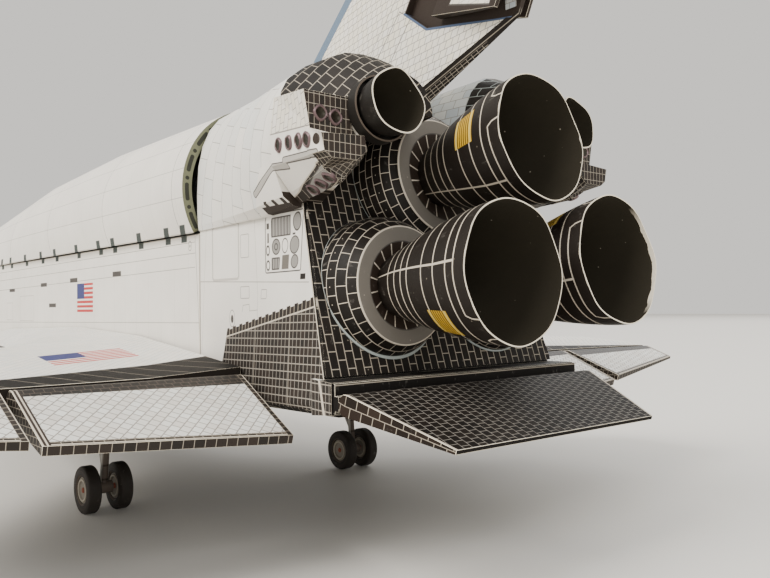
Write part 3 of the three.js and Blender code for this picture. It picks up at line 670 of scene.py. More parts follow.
def noseSkin():
    # half a section per row: flat bottom, quarter round, straight side, quarter ellipse over the sill
    table = dict(zip(noseShape["columns"], np.array(noseShape["stations"]).T))
    knots = np.linspace(0, 1, len(table["y"]))
    at = np.linspace(0, 1, noseShape["rows"])
    y, half, bottom, sill, top, corner = (curveThrough(knots, table[c], at)[:, None] for c in noseShape["columns"])
    flat = np.linspace(0, 1, 7)[None, :-1]
    turn = np.radians(np.linspace(-90, 0, 8))[None]
    side = np.linspace(0, 1, 10)[None, 1:]
    over = np.radians(np.linspace(0, 90, 30))[None, 1:]
    x = np.hstack([flat * (half - corner), half - corner + corner * np.cos(turn), half + 0 * side,
                   half * np.cos(over)])
    z = np.hstack([bottom + 0 * flat, bottom + corner + corner * np.sin(turn),
                   bottom + corner + (sill - bottom - corner) * side, sill + (top - sill) * np.sin(over)])
    x = np.hstack([x, -x[:, -2::-1]])
    z = np.hstack([z, z[:, -2::-1]])
    ring = np.stack([x, y + 0 * x, z], -1)
    # arc length from the top centre line, plus to port
    run = arcLength(x, z)
    arc = run[:, x.shape[1] // 2][:, None] - run
    uv = np.stack([ring[..., 1], arc], -1)
    front, back = ring[:1].mean(axis=1, keepdims=True), ring[-1:].mean(axis=1, keepdims=True)
    points = np.concatenate([np.repeat(front, x.shape[1], 1), ring, np.repeat(back, x.shape[1], 1)])
    return points, np.concatenate([uv[:1], uv, uv[-1:]])


nosePrint = {
    # (across, place) boxes measured from the top centre line
    "panes": ((0.7, 7.3, -146.0, -139.8), (8.2, 14.4, -145.6, -139.2), (15.6, 22.6, -143.9, -137.6),
              (2.6, 7.6, -134.4, -130.2)),
    "thrusters": ((3.0, 5.4, -163.0, -159.6), (7.0, 9.4, -163.0, -159.6), (3.6, 6.2, -157.4, -153.8),
                  (19.0, 21.2, -160.5, -157.3), (19.6, 21.8, -155.9, -152.7)),
    "lines": {
        ("stroke", 0.1, "faint"): ((-176, 0, -99.4, 0),),
        ("stroke", 0.12, "faint"): ((-150.5, -24, -150.5, 24), (-128, -60, -128, 60),
            (-113.5, -60, -113.5, 60), (-168, -15, -168, 15)),
    },
    "hatch": {
        ("oval", 0.2, "line"): ((-125.4, 51.6, -116.4, 60.6),),
        ("oval", 0, "glass"): ((-122.4, 55, -119.4, 58),),
    },
    "tiles": (9.5, 6.2, 0.08, 0.5, "whitePale", 5.0), "chinTiles": (2.6, 1.6, 0.11, 0.5, "black", 6.0),
    "chinSlope": 0.15, "chinTop": 48.6, "capEnd": -176.6, "capRing": -184.2,
}


def noseCard():
    n = nosePrint
    card = PrintedCard("nosePrint", uvMap="print")
    arc, place = size(card.v), card.u
    card.repeat(place, 7.6, 0.08, "paleShade", start=3.0)
    card.bricks(place, card.v, n["tiles"], rise(place, -171.0, 0.1))
    card.marks(place, card.v, n["lines"])
    for a0, a1, y0, y1 in n["panes"]:
        for grown, corner, colour in ((0.7, 0.8, "tileSoft"), (0.0, 0.5, "glass")):
            pane = card.mask("box", arc, place, a0 - grown, y0 - grown, a1 + grown, y1 + grown, corner)
            card.coat(pane, colour)
    for a0, a1, y0, y1 in n["thrusters"]:
        card.coat(card.mask("oval", arc, place, a0, y0, a1, y1, 0.0), "tileSoft")
        card.coat(card.mask("oval", arc, place, a0 - 0.4, y0 - 0.4, a1 + 0.4, y1 + 0.4, 0.16), "line")
    card.marks(card.y, card.z, n["hatch"], rise(card.x, 5.0, 1.0))
    # black chin, lower towards the wings, and a grey cap at the very front
    chin = fall(card.z + (card.y + 187.0) * n["chinSlope"], n["chinTop"], 0.08)
    card.bricks(card.y, card.x + card.z * 0.8, n["chinTiles"], chin)
    cap = fall(card.y, n["capEnd"], 0.08)
    card.coat(cap, "greyPanel")
    card.line(card.y, n["capEnd"], 0.16, "darkLine")
    card.line(card.y, n["capRing"], 0.1, "darkLine", cap)
    hingeMarks(card, card.sideways() * rise(card.y, -98.0, 0.1))
    return card.finish(rough=0.62)


nosePoints, noseUv = noseSkin()
shown(sheetMesh("forward_fuselage.skin", nosePoints, [noseCard()], noseUv, sharp=50), "forward_fuselage")
cardCopy("mid_fuselage", midBodyCard(), crease=0.06)
cardCopy("aft_fuselage", aftBodyCard(), crease=0.06, flatten=0.1)
print("fuselage done")


# payload doors

doorShape = {
    "y": (-99.0, -40.0, 20.0, 84.3), "centreX": (2.6, 6.0, 8.6, 10.4), "centreZ": (68.0, 74.0, 76.6, 77.5),
    "radius": (24.6, 23.0, 21.8, 20.4), "footZ": 67.12, "wall": 2.4, "rows": 60, "columns": 44,
    "ringLines": (-61.5, -15.0, 34.5, 78.6), "longLines": (8.6, 15.4, 22.4, 29.6),
    "radiatorFrames": (-99.0, -61.5, -15.0, 34.5, 84.3), "tubeStep": 0.9,
    # slots and holes of the end frame: step along the arc, then (along, depth) boxes
    "rimStep": 7.2, "slot": (0.5, 0.7, 4.9, 1.7), "hole": (5.6, 0.7, 6.6, 1.7),
}


def doorSheet(sign):
    # an arc from the foot to the top of a circle whose centre and radius change along y, then flat to the middle
    d = doorShape
    y = np.linspace(d["y"][0], d["y"][-1], d["rows"])[:, None]
    centreX, centreZ, radius = (np.interp(y, d["y"], d[k]) for k in ("centreX", "centreZ", "radius"))
    start = np.arcsin((d["footZ"] - centreZ) / radius)
    angle = start + (np.pi / 2 - start) * np.linspace(0, 1, d["columns"])[None]
    x = centreX + radius * np.cos(angle)
    z = centreZ + radius * np.sin(angle)
    x = np.hstack([x, np.linspace(1, 0, 7)[None, 1:] * (x[:, -1:] - 0.15) + 0.15])
    z = np.hstack([z, np.repeat(z[:, -1:], 6, 1)])
    points = np.stack([sign * x, y + 0 * x, z], -1)
    uv = np.stack([y + 0 * x, arcLength(x, z)], -1)
    return (points, uv) if sign > 0 else (points[:, ::-1], uv[:, ::-1])


def doorCard():
    card = PrintedCard("doorPrint", uvMap="print")
    card.repeat(card.u, 6.9, 0.08, "paleShade", start=-99.0)
    for place in doorShape["longLines"]:
        card.line(card.v, place, 0.08, "shade")
    for place in doorShape["ringLines"]:
        card.line(card.u, place, 0.09, "line")
    card.coat(fall(card.v, 0.3, 0.1), "faint")
    hingeMarks(card, fall(card.v, 4.0, 0.1))
    return card.finish(rough=0.6)


def radiatorCard():
    # inside of the doors: silver card with fine tube lines and dark panel frames
    card = PrintedCard("radiatorPrint", "foil", uvMap="print")
    card.repeat(card.v, doorShape["tubeStep"], 0.16, "greyPanel")
    for place in doorShape["radiatorFrames"]:
        card.line(card.u, place, 1.0, "greyPanel")
        card.line(size(card.u - place), 1.0, 0.12, "darkLine")
    card.coat(fall(card.v, 2.2), "greyPanel")
    card.coat(rise(card.v, 36.5), "greyPanel")
    return card.finish(rough=0.42)


def doorRimCard():
    # the card frame at a door's end: olive, with dark slots and round holes by turns in the middle of the wall
    d = doorShape
    card = PrintedCard("doorRimPrint", "olive", uvMap="print")
    step = calc("FRACT", card.v / d["rimStep"]) * d["rimStep"]
    # depth below the outer face, from the end circles of the door's table
    atRear = rise(card.y, 0.0, 1.0)
    offX = larger(size(card.x) - d["centreX"][0] - atRear * (d["centreX"][-1] - d["centreX"][0]), 0.0)
    offZ = card.z - d["centreZ"][0] - atRear * (d["centreZ"][-1] - d["centreZ"][0])
    radius = d["radius"][0] - atRear * (d["radius"][0] - d["radius"][-1])
    deep = radius - hypot(offX, offZ)
    ends = rise(size(card.faceY), 0.5, 0.1)
    slot = card.mask("box", step, deep, *d["slot"], 0.45)
    hole = card.mask("oval", step, deep, *d["hole"], 0.0)
    card.coat(larger(slot, hole) * ends, "oliveDark")
    card.coat(1.0 - ends, "paper")
    return card.finish()


doorMaterials = [doorCard(), radiatorCard(), doorRimCard()]
for side, sign in bothSides:
    doorPoints, doorUv = doorSheet(sign)
    door = sheetMesh(f"payload_door_{side}.sheet", doorPoints, doorMaterials, doorUv, keepOpen=True)
    shown(thicken(door, doorShape["wall"]), f"payload_door_{side}")
print("doors done")


# pods, housings and their nozzles

podPrint = {
    "courses": (8.4, 5.6, 0.13, 0.5, "white", 7.0), "diamonds": (2.2, 2.2, 0.13, 0.5, "black", 8.0),
    "innerBricks": (3.0, 2.0, 0.12, 0.5, "coolBlue", 31.0), "innerTail": (3.0, 2.0, 0.12, 0.5, "blackCool", 31.0),
    "undercut": (3.25, 1.85, 0.17, 0.5, "black", 32.0),
    "bars": ((117.6, 71.9, 127.4, 75.6), (127.4, 75.6, 131.5, 75.3)),
    # comb at the foot: range along y, step, foot and tooth height
    "comb": {"range": (118.2, 128.6), "start": 118.0, "step": 3.3, "foot": 69.3, "tooth": 0.9},
    # where the areas begin along y or z, and where the white lower face and the brown foot end
    "lowerTop": 76.4, "lowerFront": 116.0, "diamondFront": 129.4, "diamondFoot": 84.0, "backFoot": 76.0,
    "innerFront": 112.0, "innerBlack": 136.5, "undercutFront": 122.0, "undercutSide": 25.5, "footTop": 71.2,
}


def raised(card, lift):
    # height with the pod's own lift taken out: none at y 104, all of it from y 136
    share = calc("MULTIPLY_ADD", card.y, 1 / 32, -104 / 32, clamped=True)
    return card.z - share * lift


def outlinedBars(places):
    # broad grey strokes on slightly broader dark ones
    return {("stroke", 1.35, "darkLine"): places, ("stroke", 0.95, "shade"): places}


def podCard(sign, lift):
    p, comb = podPrint, podPrint["comb"]
    card = PrintedCard(f"podPrint{int(lift * 10)}")
    z = raised(card, lift)
    card.bricks(z + (card.y - 104.0) * 0.25, card.y - (z - 80.0) * 0.22, p["courses"])
    # white lower face with its dark comb and grey bars
    outward = rise(size(card.x), 20.0, 1.0)
    lower = outward * fall(z, p["lowerTop"], 0.1) * rise(card.y - (z - 69.0) * 0.8, p["lowerFront"], 0.1)
    card.coat(lower, "paper")
    card.marks(card.y, z, outlinedBars(p["bars"]), outward)
    tooth = rise(calc("FRACT", (card.y - comb["start"]) / comb["step"]), 0.62, 0.05)
    teeth = fall(z - comb["tooth"] * tooth, comb["foot"]) * band(card.y, *comb["range"], 0.1)
    card.coat(teeth * outward, "tileBrown")
    # black tiles set as diamonds over the rear: the across direction leans with the pod's flank
    flat = size(card.x) * -0.764 + card.y * 0.645
    rear = rise(card.y + (z - 88.4) * 0.55, p["diamondFront"]) * rise(z, p["diamondFoot"], 0.1)
    back = rise(card.faceY, 0.45, 0.1) * rise(card.y, 129.0, 0.1)
    card.bricks(*diagonals(flat, z), p["diamonds"], larger(rear, back * rise(z, p["backFoot"], 0.1)))
    # inner side: pale bricks, black ones near the tail; the undercut carries the bricks of the base
    inner = rise(card.faceX * -sign, 0.25, 0.1) * rise(card.y, p["innerFront"], 0.1)
    card.bricks(card.y, z, p["innerBricks"], inner)
    card.bricks(card.y, z, p["innerTail"], inner * rise(card.y, p["innerBlack"]))
    under = fall(card.faceZ, -0.25, 0.1) * rise(card.y, p["undercutFront"], 0.1)
    under = under * fall(size(card.x), p["undercutSide"], 0.1)
    card.bricks(card.z * basePlane["stretch"], card.x, p["undercut"], under)
    card.coat(rise(card.faceY, 0.7, 0.1) * fall(z, p["footTop"], 0.1), "tileBrown")
    return card.finish()


housingPrint = {
    "whiteBricks": (2.5, 1.9, 0.13, 0.5, "warm", 9.0), "topBricks": (2.5, 1.9, 0.13, 0.5, "warm", 12.0),
    "rearGrid": (1.1, 1.7, 0.09, 0.0, "brown", 10.0), "lowerGrid": (3.1, 2.6, 0.14, 0.0, "brown", 11.0),
    "fineGrid": (1.0, 1.0, 0.09, 0.0, "brown", 10.0),
    "marks": {**outlinedBars(((127.4, 75.6, 134.6, 74.9), (134.2, 75.8, 147.6, 74.9))),
              ("oval", 0.0, "tileBrown"): ((147.0, 76.1, 149.4, 77.9),)},
    # thruster holes of the port side: place, outward direction
    "holes": (((35.5, 132.5, 78.8), (0.98, -0.18, -0.05)), ((36.3, 137.0, 78.4), (0.97, -0.21, -0.12)),
              ((37.2, 141.3, 77.9), (0.97, -0.21, -0.12)), ((38.1, 145.1, 77.4), (0.98, -0.15, -0.12)),
              ((36.2, 146.2, 81.9), (0.0, 1.0, 0.0)), ((33.1, 146.2, 81.6), (0.0, 1.0, 0.0)),
              ((33.5, 144.9, 71.65), (0.5, -0.04, -0.86)), ((32.3, 140.9, 71.2), (0.5, -0.04, -0.86)),
              ((31.2, 136.9, 70.75), (0.6, -0.04, -0.8))),
    # rim profile: radius and height above the card
    "rimRadius": (0.0, 1.42, 1.38, 1.15, 0.98, 0.92, 0.0), "rimHeight": (-0.3, -0.3, 0.22, 0.4, 0.3, 0.2, 0.2),
    "rimSides": 20, "holeRadius": 0.95,
    # grey strip under the lower holes: range along y, range below the slanting edge
    "strip": (134.6, 146.6), "stripDepth": (0.55, 2.3),
    # slanting edges as y, z, slope: the crease of the outer side and the edge of the lower face
    "crease": (128.6, 81.4, -0.102), "slant": (131.0, 70.7, 0.205), "fineFrom": 146.3,
}


def housingCard(lift):
    h = housingPrint
    card = PrintedCard(f"housingPrint{int(lift * 10)}")
    z = raised(card, lift)
    outer = card.sideways(0.55)
    overCrease, overSlant = (z - ((card.y - y0) * slope + z0) for y0, z0, slope in (h["crease"], h["slant"]))
    card.bricks(z, card.y, h["whiteBricks"], outer * rise(overCrease, 0.0))
    card.line(overCrease, 0, 0.12, "line", outer)
    card.marks(card.y, z, h["marks"], outer)
    card.bricks(size(card.x), z, h["rearGrid"], rise(card.faceY, 0.5, 0.1))
    # lower face: white in front of a slanting edge, brown behind it, with a grey strip under three holes
    lower = fall(card.faceZ, -0.2, 0.08) * fall(card.faceY, 0.5, 0.1)
    below = overSlant * -1.0
    dark = lower * rise(below, 0.0)
    card.bricks(card.y, below, h["lowerGrid"], dark)
    card.line(below, 0, 0.09, "jointPale", lower)
    strip = dark * band(card.y, *h["strip"])
    card.coat(strip * band(below, *h["stripDepth"]), "greyPanel")
    near, far = h["stripDepth"]
    card.line(size(below - (near + far) / 2), (far - near) / 2, 0.08, "darkLine", strip)
    card.bricks(card.y, card.x, h["fineGrid"], lower * rise(card.y, h["fineFrom"]))
    card.bricks(size(card.x), card.y, h["topBricks"], rise(card.faceZ, 0.6, 0.1))
    return card.finish()


def rimCard():
    # painted rim with a bruised metal look, black in the hole
    card = PrintedCard("thrusterRimPrint", "rimMetal", uvMap="print")
    card.coat(fall(card.v, housingPrint["holeRadius"]), "soot")
    card.shader.inputs["Metallic"].default_value = 0.55
    return card.finish(rough=0.42, rub=0.5, cloudy=0.3, grain=0.6, gloss=0.4)


def rimsPiece(side, sign, lift, material):
    # each rim is the table profile turned about its own outward direction, five waves of a twentieth round it
    s = housingPrint
    grid, _ = turnedGrid(s["rimRadius"], s["rimHeight"], s["rimSides"])
    turn = np.arange(s["rimSides"] + 1) * 1.257
    v = np.repeat(np.array(s["rimRadius"])[:, None], s["rimSides"] + 1, 1)
    rims = []
    for number, (place, outward) in enumerate(s["holes"]):
        axis = np.array(outward) / np.linalg.norm(outward)
        right = np.cross(axis, (0.0, 0.0, 1.0))
        right /= np.linalg.norm(right)
        wobble = 1 + 0.05 * np.sin(turn + place[1])[None, :, None]
        x, h, z = grid[..., :1] * wobble, grid[..., 1:2], grid[..., 2:] * wobble
        up = lift * min(1.0, (place[1] - 104) / 32)
        points = np.array(place) + (0, 0, up) + x * right + h * axis + z * np.cross(right, axis)
        rims.append(sheetMesh(f"thruster_rims_{side}.{number}", points * (sign, 1, 1), [material],
                              np.stack([v * 0, v], -1), sharp=60))
    piece = joinedPiece(rims, f"thruster_rims_{side}")
    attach(piece, bodyOfNode[f"thruster_housing_{side}"])


podPlaces = {"port": (1, 0.0, 6), "starboard": (-1, 1.8, 11)}  # side sign, lift, nozzle pitch
podNozzle = {"x": 24.4, "y": 139.2, "z": 82.9, "yaw": 1.8, "wall": 0.26, "sides": 60, "rings": 30,
             "radius": (2.9, 2.4, 2.7, 3.9, 5.1, 5.86), "along": (0.0, 1.2, 3.0, 6.4, 10.0, 14.0)}


def atNozzle(points, sign, lift, pitch):
    # turned to the pod nozzle's direction and moved to its throat
    n = podNozzle
    return tipped(points, (sign * n["x"], n["y"], n["z"] + lift), pitch, sign * n["yaw"])


def podNozzlePiece(side, sign, lift, pitch, materials):
    # table profile smoothed by a cubic, closed at the throat; the rim waves by a tenth of a millimetre
    n = podNozzle
    along = np.linspace(0, n["along"][-1], n["rings"])
    radius = curveThrough(np.array(n["along"]), np.array(n["radius"]), along)
    radius, along = np.append(0, radius), np.append(0, along)
    points, uv = turnedGrid(radius, along, n["sides"])
    turn = np.radians(uv[..., 0])
    open_ = (uv[..., 1] / n["along"][-1]) ** 3
    bent = 1 + open_ * (0.022 * np.cos(5 * turn + sign) + 0.015 * np.cos(3 * turn) - 0.03)
    points[..., ::2] *= bent[..., None]
    points[..., 1] += open_ * 0.2 * np.sin(3 * turn + sign)
    piece = sheetMesh(f"pod_nozzle_{side}.cone", atNozzle(points, sign, lift, pitch), materials, uv, sharp=50)
    return shown(thicken(piece, n["wall"]), f"pod_nozzle_{side}")


nozzleCollar = {"radius": (4.4, 5.9, 5.9, 5.6, 5.6, 4.4, 4.4), "along": (7.2, 7.2, 9.6, 9.6, 7.7, 7.7, 7.2),
                "sides": 72, "edge": 9.5}


def collarPiece(side, sign, lift, pitch, material):
    # a ring of card round the nozzle: a closed profile turned about the nozzle's own axis
    points, uv = turnedGrid(nozzleCollar["radius"], nozzleCollar["along"], nozzleCollar["sides"])
    piece = sheetMesh(f"nozzle_collar_{side}", atNozzle(points, sign, lift, pitch), [material], uv, sharp=50)
    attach(piece, bodyOfNode[f"pod_{side}"])


def collarCard():
    card = PrintedCard("nozzleCollarPrint", "charcoal", uvMap="print")
    card.coat(rise(card.v, nozzleCollar["edge"]), "strut")
    return card.finish(rough=0.6, rub=0.25, gloss=0.25)


def nozzleCard():
    # one pale line round the cone near its throat
    card = PrintedCard("podNozzlePrint", "charcoal", uvMap="print")
    card.repeat(card.v, 40.0, 0.12, "joint", start=0.6)
    return card.finish(rough=0.56, rub=0.25, gloss=0.25)


sootCard = plainCard("sootCard", "soot", rough=0.7, dust=0.9, cloudy=0.25, gloss=0.2)
nozzleMaterials = [nozzleCard(), sootCard, cutEdge]
rimMaterial, collarMaterial = rimCard(), collarCard()
for side, (sign, lift, pitch) in podPlaces.items():
    cardCopy(f"pod_{side}", podCard(sign, lift), crease=0.05, sharp=24)
    cardCopy(f"thruster_housing_{side}", housingCard(lift), crease=0.07, sharp=16, flatten=0.1)
    podNozzlePiece(side, sign, lift, pitch, nozzleMaterials)
    collarPiece(side, sign, lift, pitch, collarMaterial)
    rimsPiece(side, sign, lift, rimMaterial)
print("pods done")


# engines

engineTable = {
    # at, pitch, yaw, dome base, dome rim, dome depth, bell length, seam angle, patch angles, gaps in the outer ring
    "top": dict(at=(0, 133.3, 75), pitch=9.4, yaw=-1.6, base=15, rim=12, depth=4.6, bell=30, seam=134, patch=(56, 90),
                gaps=((54, 85),)),
    "port": dict(at=(14.3, 136.2, 53.2), pitch=3.2, yaw=0, base=13.7, rim=11.2, depth=6, bell=33, seam=81,
                 patch=(122, 153), gaps=((126, 157),)),
    "starboard": dict(at=(-14.3, 136.2, 53.2), pitch=8, yaw=0, base=13.7, rim=11.2, depth=6, bell=33.6, seam=107,
                      patch=(14, 46), gaps=((26, 60), (150, 188)), torn=(222, 318)),
}
bellShape = {
    "throat": 4.6, "mouth": 12.0, "curve": 1.45, "wall": 0.22, "sides": 96, "rings": 40,
    # printed lines by their distance from the rim; the outer one turns out at its gaps (degrees, distance)
    "rimLines": (23.4, 20.9, 18.5, 16.3, 11.5, 8.0, 4.6), "outerLine": 2.6, "line": 0.27,
    "turnOut": ((0, 2.6), (3, 1.5), (4, 0.0)), "perDegree": 0.2,
    "patch": (7.1, 12.2), "patchEdges": (7.6, 11.8), "hatchStep": 0.62,
}
domeShape = {"tiles": 26, "ring": 2.8, "throat": 5.6, "throatDepth": 1.0, "sides": 104, "spokeStep": 20.0,
             # share of the base or rim radius, and share of the depth, at four stations
             "baseShare": (1.0, 0.955), "rimShare": (1.05, 1.0), "depthShare": (0.0, 0.45, 0.82, 1.0)}


def bellPiece(name, e):
    # radius = throat + (mouth - throat) * (1 - (1 - t) ^ curve) over its length, closed at the throat;
    # towards the rim it goes slightly out of round, as rolled card does
    s = bellShape
    t = np.linspace(0, 1, s["rings"])
    start = e["depth"] - 5
    radius = s["throat"] + (s["mouth"] - s["throat"]) * (1 - (1 - t) ** s["curve"])
    along = start + t * (e["bell"] - start)
    points, uv = turnedGrid(np.append(0, radius), np.append(start, along), s["sides"])
    turn = np.radians(uv[..., 0])
    open_ = np.append(0, t)[:, None] ** 2
    squash = 1 + open_ * (0.012 * np.cos(2 * turn + e["seam"]) + 0.008 * np.cos(3 * turn + e["pitch"]))
    points[..., ::2] *= squash[..., None]
    points[..., 1] += open_ ** 3 * 0.14 * (np.sin(4 * turn + e["pitch"]) + np.sin(7 * turn))
    points = tipped(points, e["at"], e["pitch"], e["yaw"])
    piece = sheetMesh(f"engine_bell_{name}.cone", points, bellCards(name, e), uv, sharp=50)
    return shown(thicken(piece, s["wall"]), f"engine_bell_{name}")


def bellCards(name, e):
    s = bellShape
    card = PrintedCard(f"bellPrint{name.capitalize()}", "tileSoft", uvMap="print")
    turn, fromRim = card.u, e["bell"] - card.v
    nearest = smaller(*(size(fromRim - line) for line in s["rimLines"]))
    rings = fall(nearest, s["line"] / 2, 0.08)
    outer = fall(size(fromRim - s["outerLine"]), s["line"] / 2, 0.08)
    for gap in e["gaps"]:
        outer = outer * (1.0 - band(turn, *gap, 0.5))
    rings = larger(rings, outer)
    for edge, way in [(gap[end], 1 - 2 * end) for gap in e["gaps"] for end in (0, 1)]:
        # the outer ring turns out to the rim at both ends of the gap
        stops = [((edge + way * step) * s["perDegree"], reach) for step, reach in s["turnOut"]]
        for start, stop in zip(stops, stops[1:]):
            rings = larger(rings, card.mask("stroke", turn * s["perDegree"], fromRim, *start, *stop, s["line"]))
    side = (turn - e["seam"]) * 0.19 + rise(fromRim, 15.0, 14.0) * 0.9
    seam = fall(size(side), 0.18, 0.08) * rise(fromRim, s["outerLine"], 0.1)
    card.coat(larger(rings, seam), "jointPale")
    patch = band(turn, *e["patch"], 0.3) * band(fromRim, *s["patch"])
    card.coat(patch, "yellow")
    card.coat(patch * fall(calc("FRACT", fromRim / s["hatchStep"]), 0.42, 0.1), "ochre")
    for place in s["patchEdges"]:
        card.line(fromRim, place, 0.3, "yellowPale", patch, 0.1)
    card.coat(fall(fromRim, noise(card.place, 0.35, 4.0) * 0.6 - 0.26), "cutEdge")
    outside = card.finish(rough=0.56, rub=0.3, dust=0.5, cloudy=0.22, gloss=0.22)
    inner = PrintedCard(f"bellInside{name.capitalize()}", "soot", uvMap="print")
    tear = noise(inner.place, 0.25, 5.0) * 2.0
    inner.coat(fall(e["bell"] - inner.v, tear - 1.16), "cutEdge")
    if "torn" in e:
        inner.coat(fall(e["bell"] - inner.v, tear - 0.2) * band(inner.u, *e["torn"], 20.0), "cutEdge")
    return [outside, inner.finish(rough=0.75, dust=0.9, cloudy=0.25, gloss=0.2), cutEdge]


def domeCard(name, e):
    # three courses of black bricks, a grey ring and a dark throat with pale spokes; v is arc length from the base
    d = domeShape
    card = PrintedCard(f"domePrint{name.capitalize()}", "tileBlack", uvMap="print")
    rim = float(arcLength(*domeProfile(e))[-1])
    wall = e["base"] * 2 * np.pi / d["tiles"]
    around = card.u * (d["tiles"] / 360)
    card.bricks(around * wall, card.v, (wall, rim / 3, 0.14, 0.5, "blackPale", 13.0))
    lane = (calc("FRACT", around) - 0.5) * wall
    card.coat(fall(hypot(lane, card.v - 0.8), 0.1), "jointPale")
    card.coat(fall(alongBase(card.y, card.z) - basePlane["y"], 0.16, 0.08), "jointCool")
    inside = rim + d["ring"]
    card.coat(band(card.v, rim, inside, 0.05), "annulus")
    card.line(card.v, rim, 0.2, "jointPale", soft=0.08)
    throat = rise(card.v, inside, 0.05)
    card.coat(throat, "tileBrown")
    spoke = nearestEdge(card.u / d["spokeStep"]) * d["spokeStep"] * 0.11
    card.coat(throat * fall(spoke, 0.1), "jointPale")
    card.line(card.v, inside + 0.1, 0.12, "darkLine")
    return card.finish(rough=0.56, rub=0.35, dust=0.6, cloudy=0.2, gloss=0.22)


def domeProfile(e):
    # rounded shoulder from the base to the rim, a cubic through four stations
    d = domeShape
    radius = np.array([share * e["base"] for share in d["baseShare"]] + [share * e["rim"] for share in d["rimShare"]])
    height = np.array(d["depthShare"]) * e["depth"]
    fine = np.linspace(0, 3, 22)
    return curveThrough(np.arange(4.0), radius, fine), curveThrough(np.arange(4.0), height, fine)


def domePiece(name, e):
    # base cylinder cut off along the leaning base, rounded shoulder, flat ring and sunk cone
    d = domeShape
    radius, height = domeProfile(e)
    mouth = e["rim"] - d["ring"]
    sunk = e["depth"] - d["throatDepth"]
    radius = np.concatenate([[0, e["base"]], radius, [mouth + 0.02], np.linspace(mouth, d["throat"], 5), [0]])
    height = np.concatenate([[-2, -2], height, [e["depth"]], np.linspace(e["depth"], sunk, 5), [sunk]])
    points, uv = turnedGrid(radius, height, d["sides"])
    arc = arcLength(radius, height)
    uv[..., 1] = (arc - arc[2])[:, None]
    points = tipped(points, e["at"], e["pitch"], e["yaw"])
    axis = tipped(np.array([0.0, 1.0, 0.0]), (0, 0, 0), e["pitch"], e["yaw"])
    # the first two rows slide along the axis until they lie on the base plane
    gap = basePlane["y"] - alongBase(points[:2, :, 1], points[:2, :, 2])
    points[:2] += (gap / (axis[1] + basePlane["slope"] * axis[2]))[..., None] * axis
    # the wall's print goes on in true length down to the base
    uv[:2, :, 1] = -np.linalg.norm(points[2] - points[1], axis=-1)
    piece = sheetMesh(f"engine_dome_{name}.shell", points, [domeCard(name, e)], uv, sharp=40)
    return shown(piece, f"engine_dome_{name}")


for engine, facts in engineTable.items():
    bellPiece(engine, facts)
    domePiece(engine, facts)


def baseCard():
    card = PrintedCard("basePrint", "tileBlack")
    card.bricks(card.z * basePlane["stretch"], card.x, (3.25, 1.85, 0.17, 0.5, "black", 14.0))
    return card.finish(rough=0.62, rub=0.3, dust=0.5, cloudy=0.2, gloss=0.2)


cardCopy("base_heat_shield", baseCard(), crease=0.05, sharp=50, flatten=0.1)
print("engines done")


# fin and rudder panels

finPrint = {
    "courses": (1.5, 1.5, 0.14, 0.5, "warm", 15.0), "pane": (1.5, 1.2, 0.12, 0.5, "greyBlue", 33.0),
    "keelGrid": (1.5, 0.62, 0.1, 0.0, "black", 16.0),
    # leading edge: place of the kink, slope over it, and where the fillet below it starts
    "leadBand": 4.9, "kink": (93.8, 110.1), "leadSlope": 1.134, "filletY": 86.5, "keelFront": 110.0, "keelTop": 104.0,
    "panels": {
        ("stroke", 0.14, "line"): ((112, 98, 138, 128),),
        ("stroke", 0.16, "darkLine"): ((120, 103.1, 127.8, 111.9), (127.8, 111.9, 131, 109.7),
            (131, 109.7, 124.7, 102)),
    },
    "recess": ((129.2, 111.0, 135.6, 106.1), (135.6, 106.1, 159.5, 102.4)), "paneBox": (155.8, 104.5, 158.4, 130.0),
}


def finCard():
    f = finPrint
    card = PrintedCard("finPrint", "paperWarm")
    # courses run up the fin and lean with its leading edge
    card.bricks(card.y * 0.9 - card.z * 0.42, card.z - card.y * 0.12, f["courses"])
    kinkY, kinkZ = f["kink"]
    lead = card.y - larger((card.z - kinkZ) * f["leadSlope"] + kinkY, f["filletY"])
    card.coat(fall(lead, f["leadBand"], 0.08), "leadBlue")
    card.line(lead, f["leadBand"], 0.12, "edgeBlue")
    card.marks(card.y, card.z, f["panels"])
    # recess between the rudder panels: dark brown with a blue edge
    front, foot = (card.mask("half", card.y, card.z, *edge) for edge in f["recess"])
    deep = front * foot * rise(card.y - (card.z - 111.0) * 0.65, 129.2, 0.1)
    card.coat(deep, "tileBrown")
    card.bricks(card.y, card.z, f["pane"], deep * card.mask("box", card.y, card.z, *f["paneBox"], 0.1))
    card.coat(larger(*(card.mask("stroke", card.y, card.z, *edge, 0.5) for edge in f["recess"])), "edgeBlue")
    # narrow face along the keel: dark, with a white line beside both folds and a black grid between them
    fold = (1.7 - (card.y - 134.0) * 0.041 - size(card.x)) * 2.1
    keel = fall(card.faceZ, -0.2, 0.05) * rise(card.y, f["keelFront"], 1.0) * fall(card.z, f["keelTop"], 0.5)
    card.coat(keel, "tileSoft")
    card.bricks(card.y * 0.91 + card.z * 0.41, fold, f["keelGrid"], keel * rise(fold, 1.24) * fall(card.y, 151.0))
    card.line(fold, 0.9, 0.08, "joint", keel)
    return card.finish()


brakePrint = {
    "footY": 138.9, "footZ": 107.5, "lean": 0.667,
    "outward": (1.9, 1.25, 0.11, 0.5, "warmPale", 17.0), "inward": (3.1, 1.9, 0.12, 0.5, "greyDark", 18.0),
    # the printed window: from and up to along its lower edge, from the front and from the rear edge
    "low": 1.95, "high": 49.6, "front": 4.8, "rear": 2.0,
}


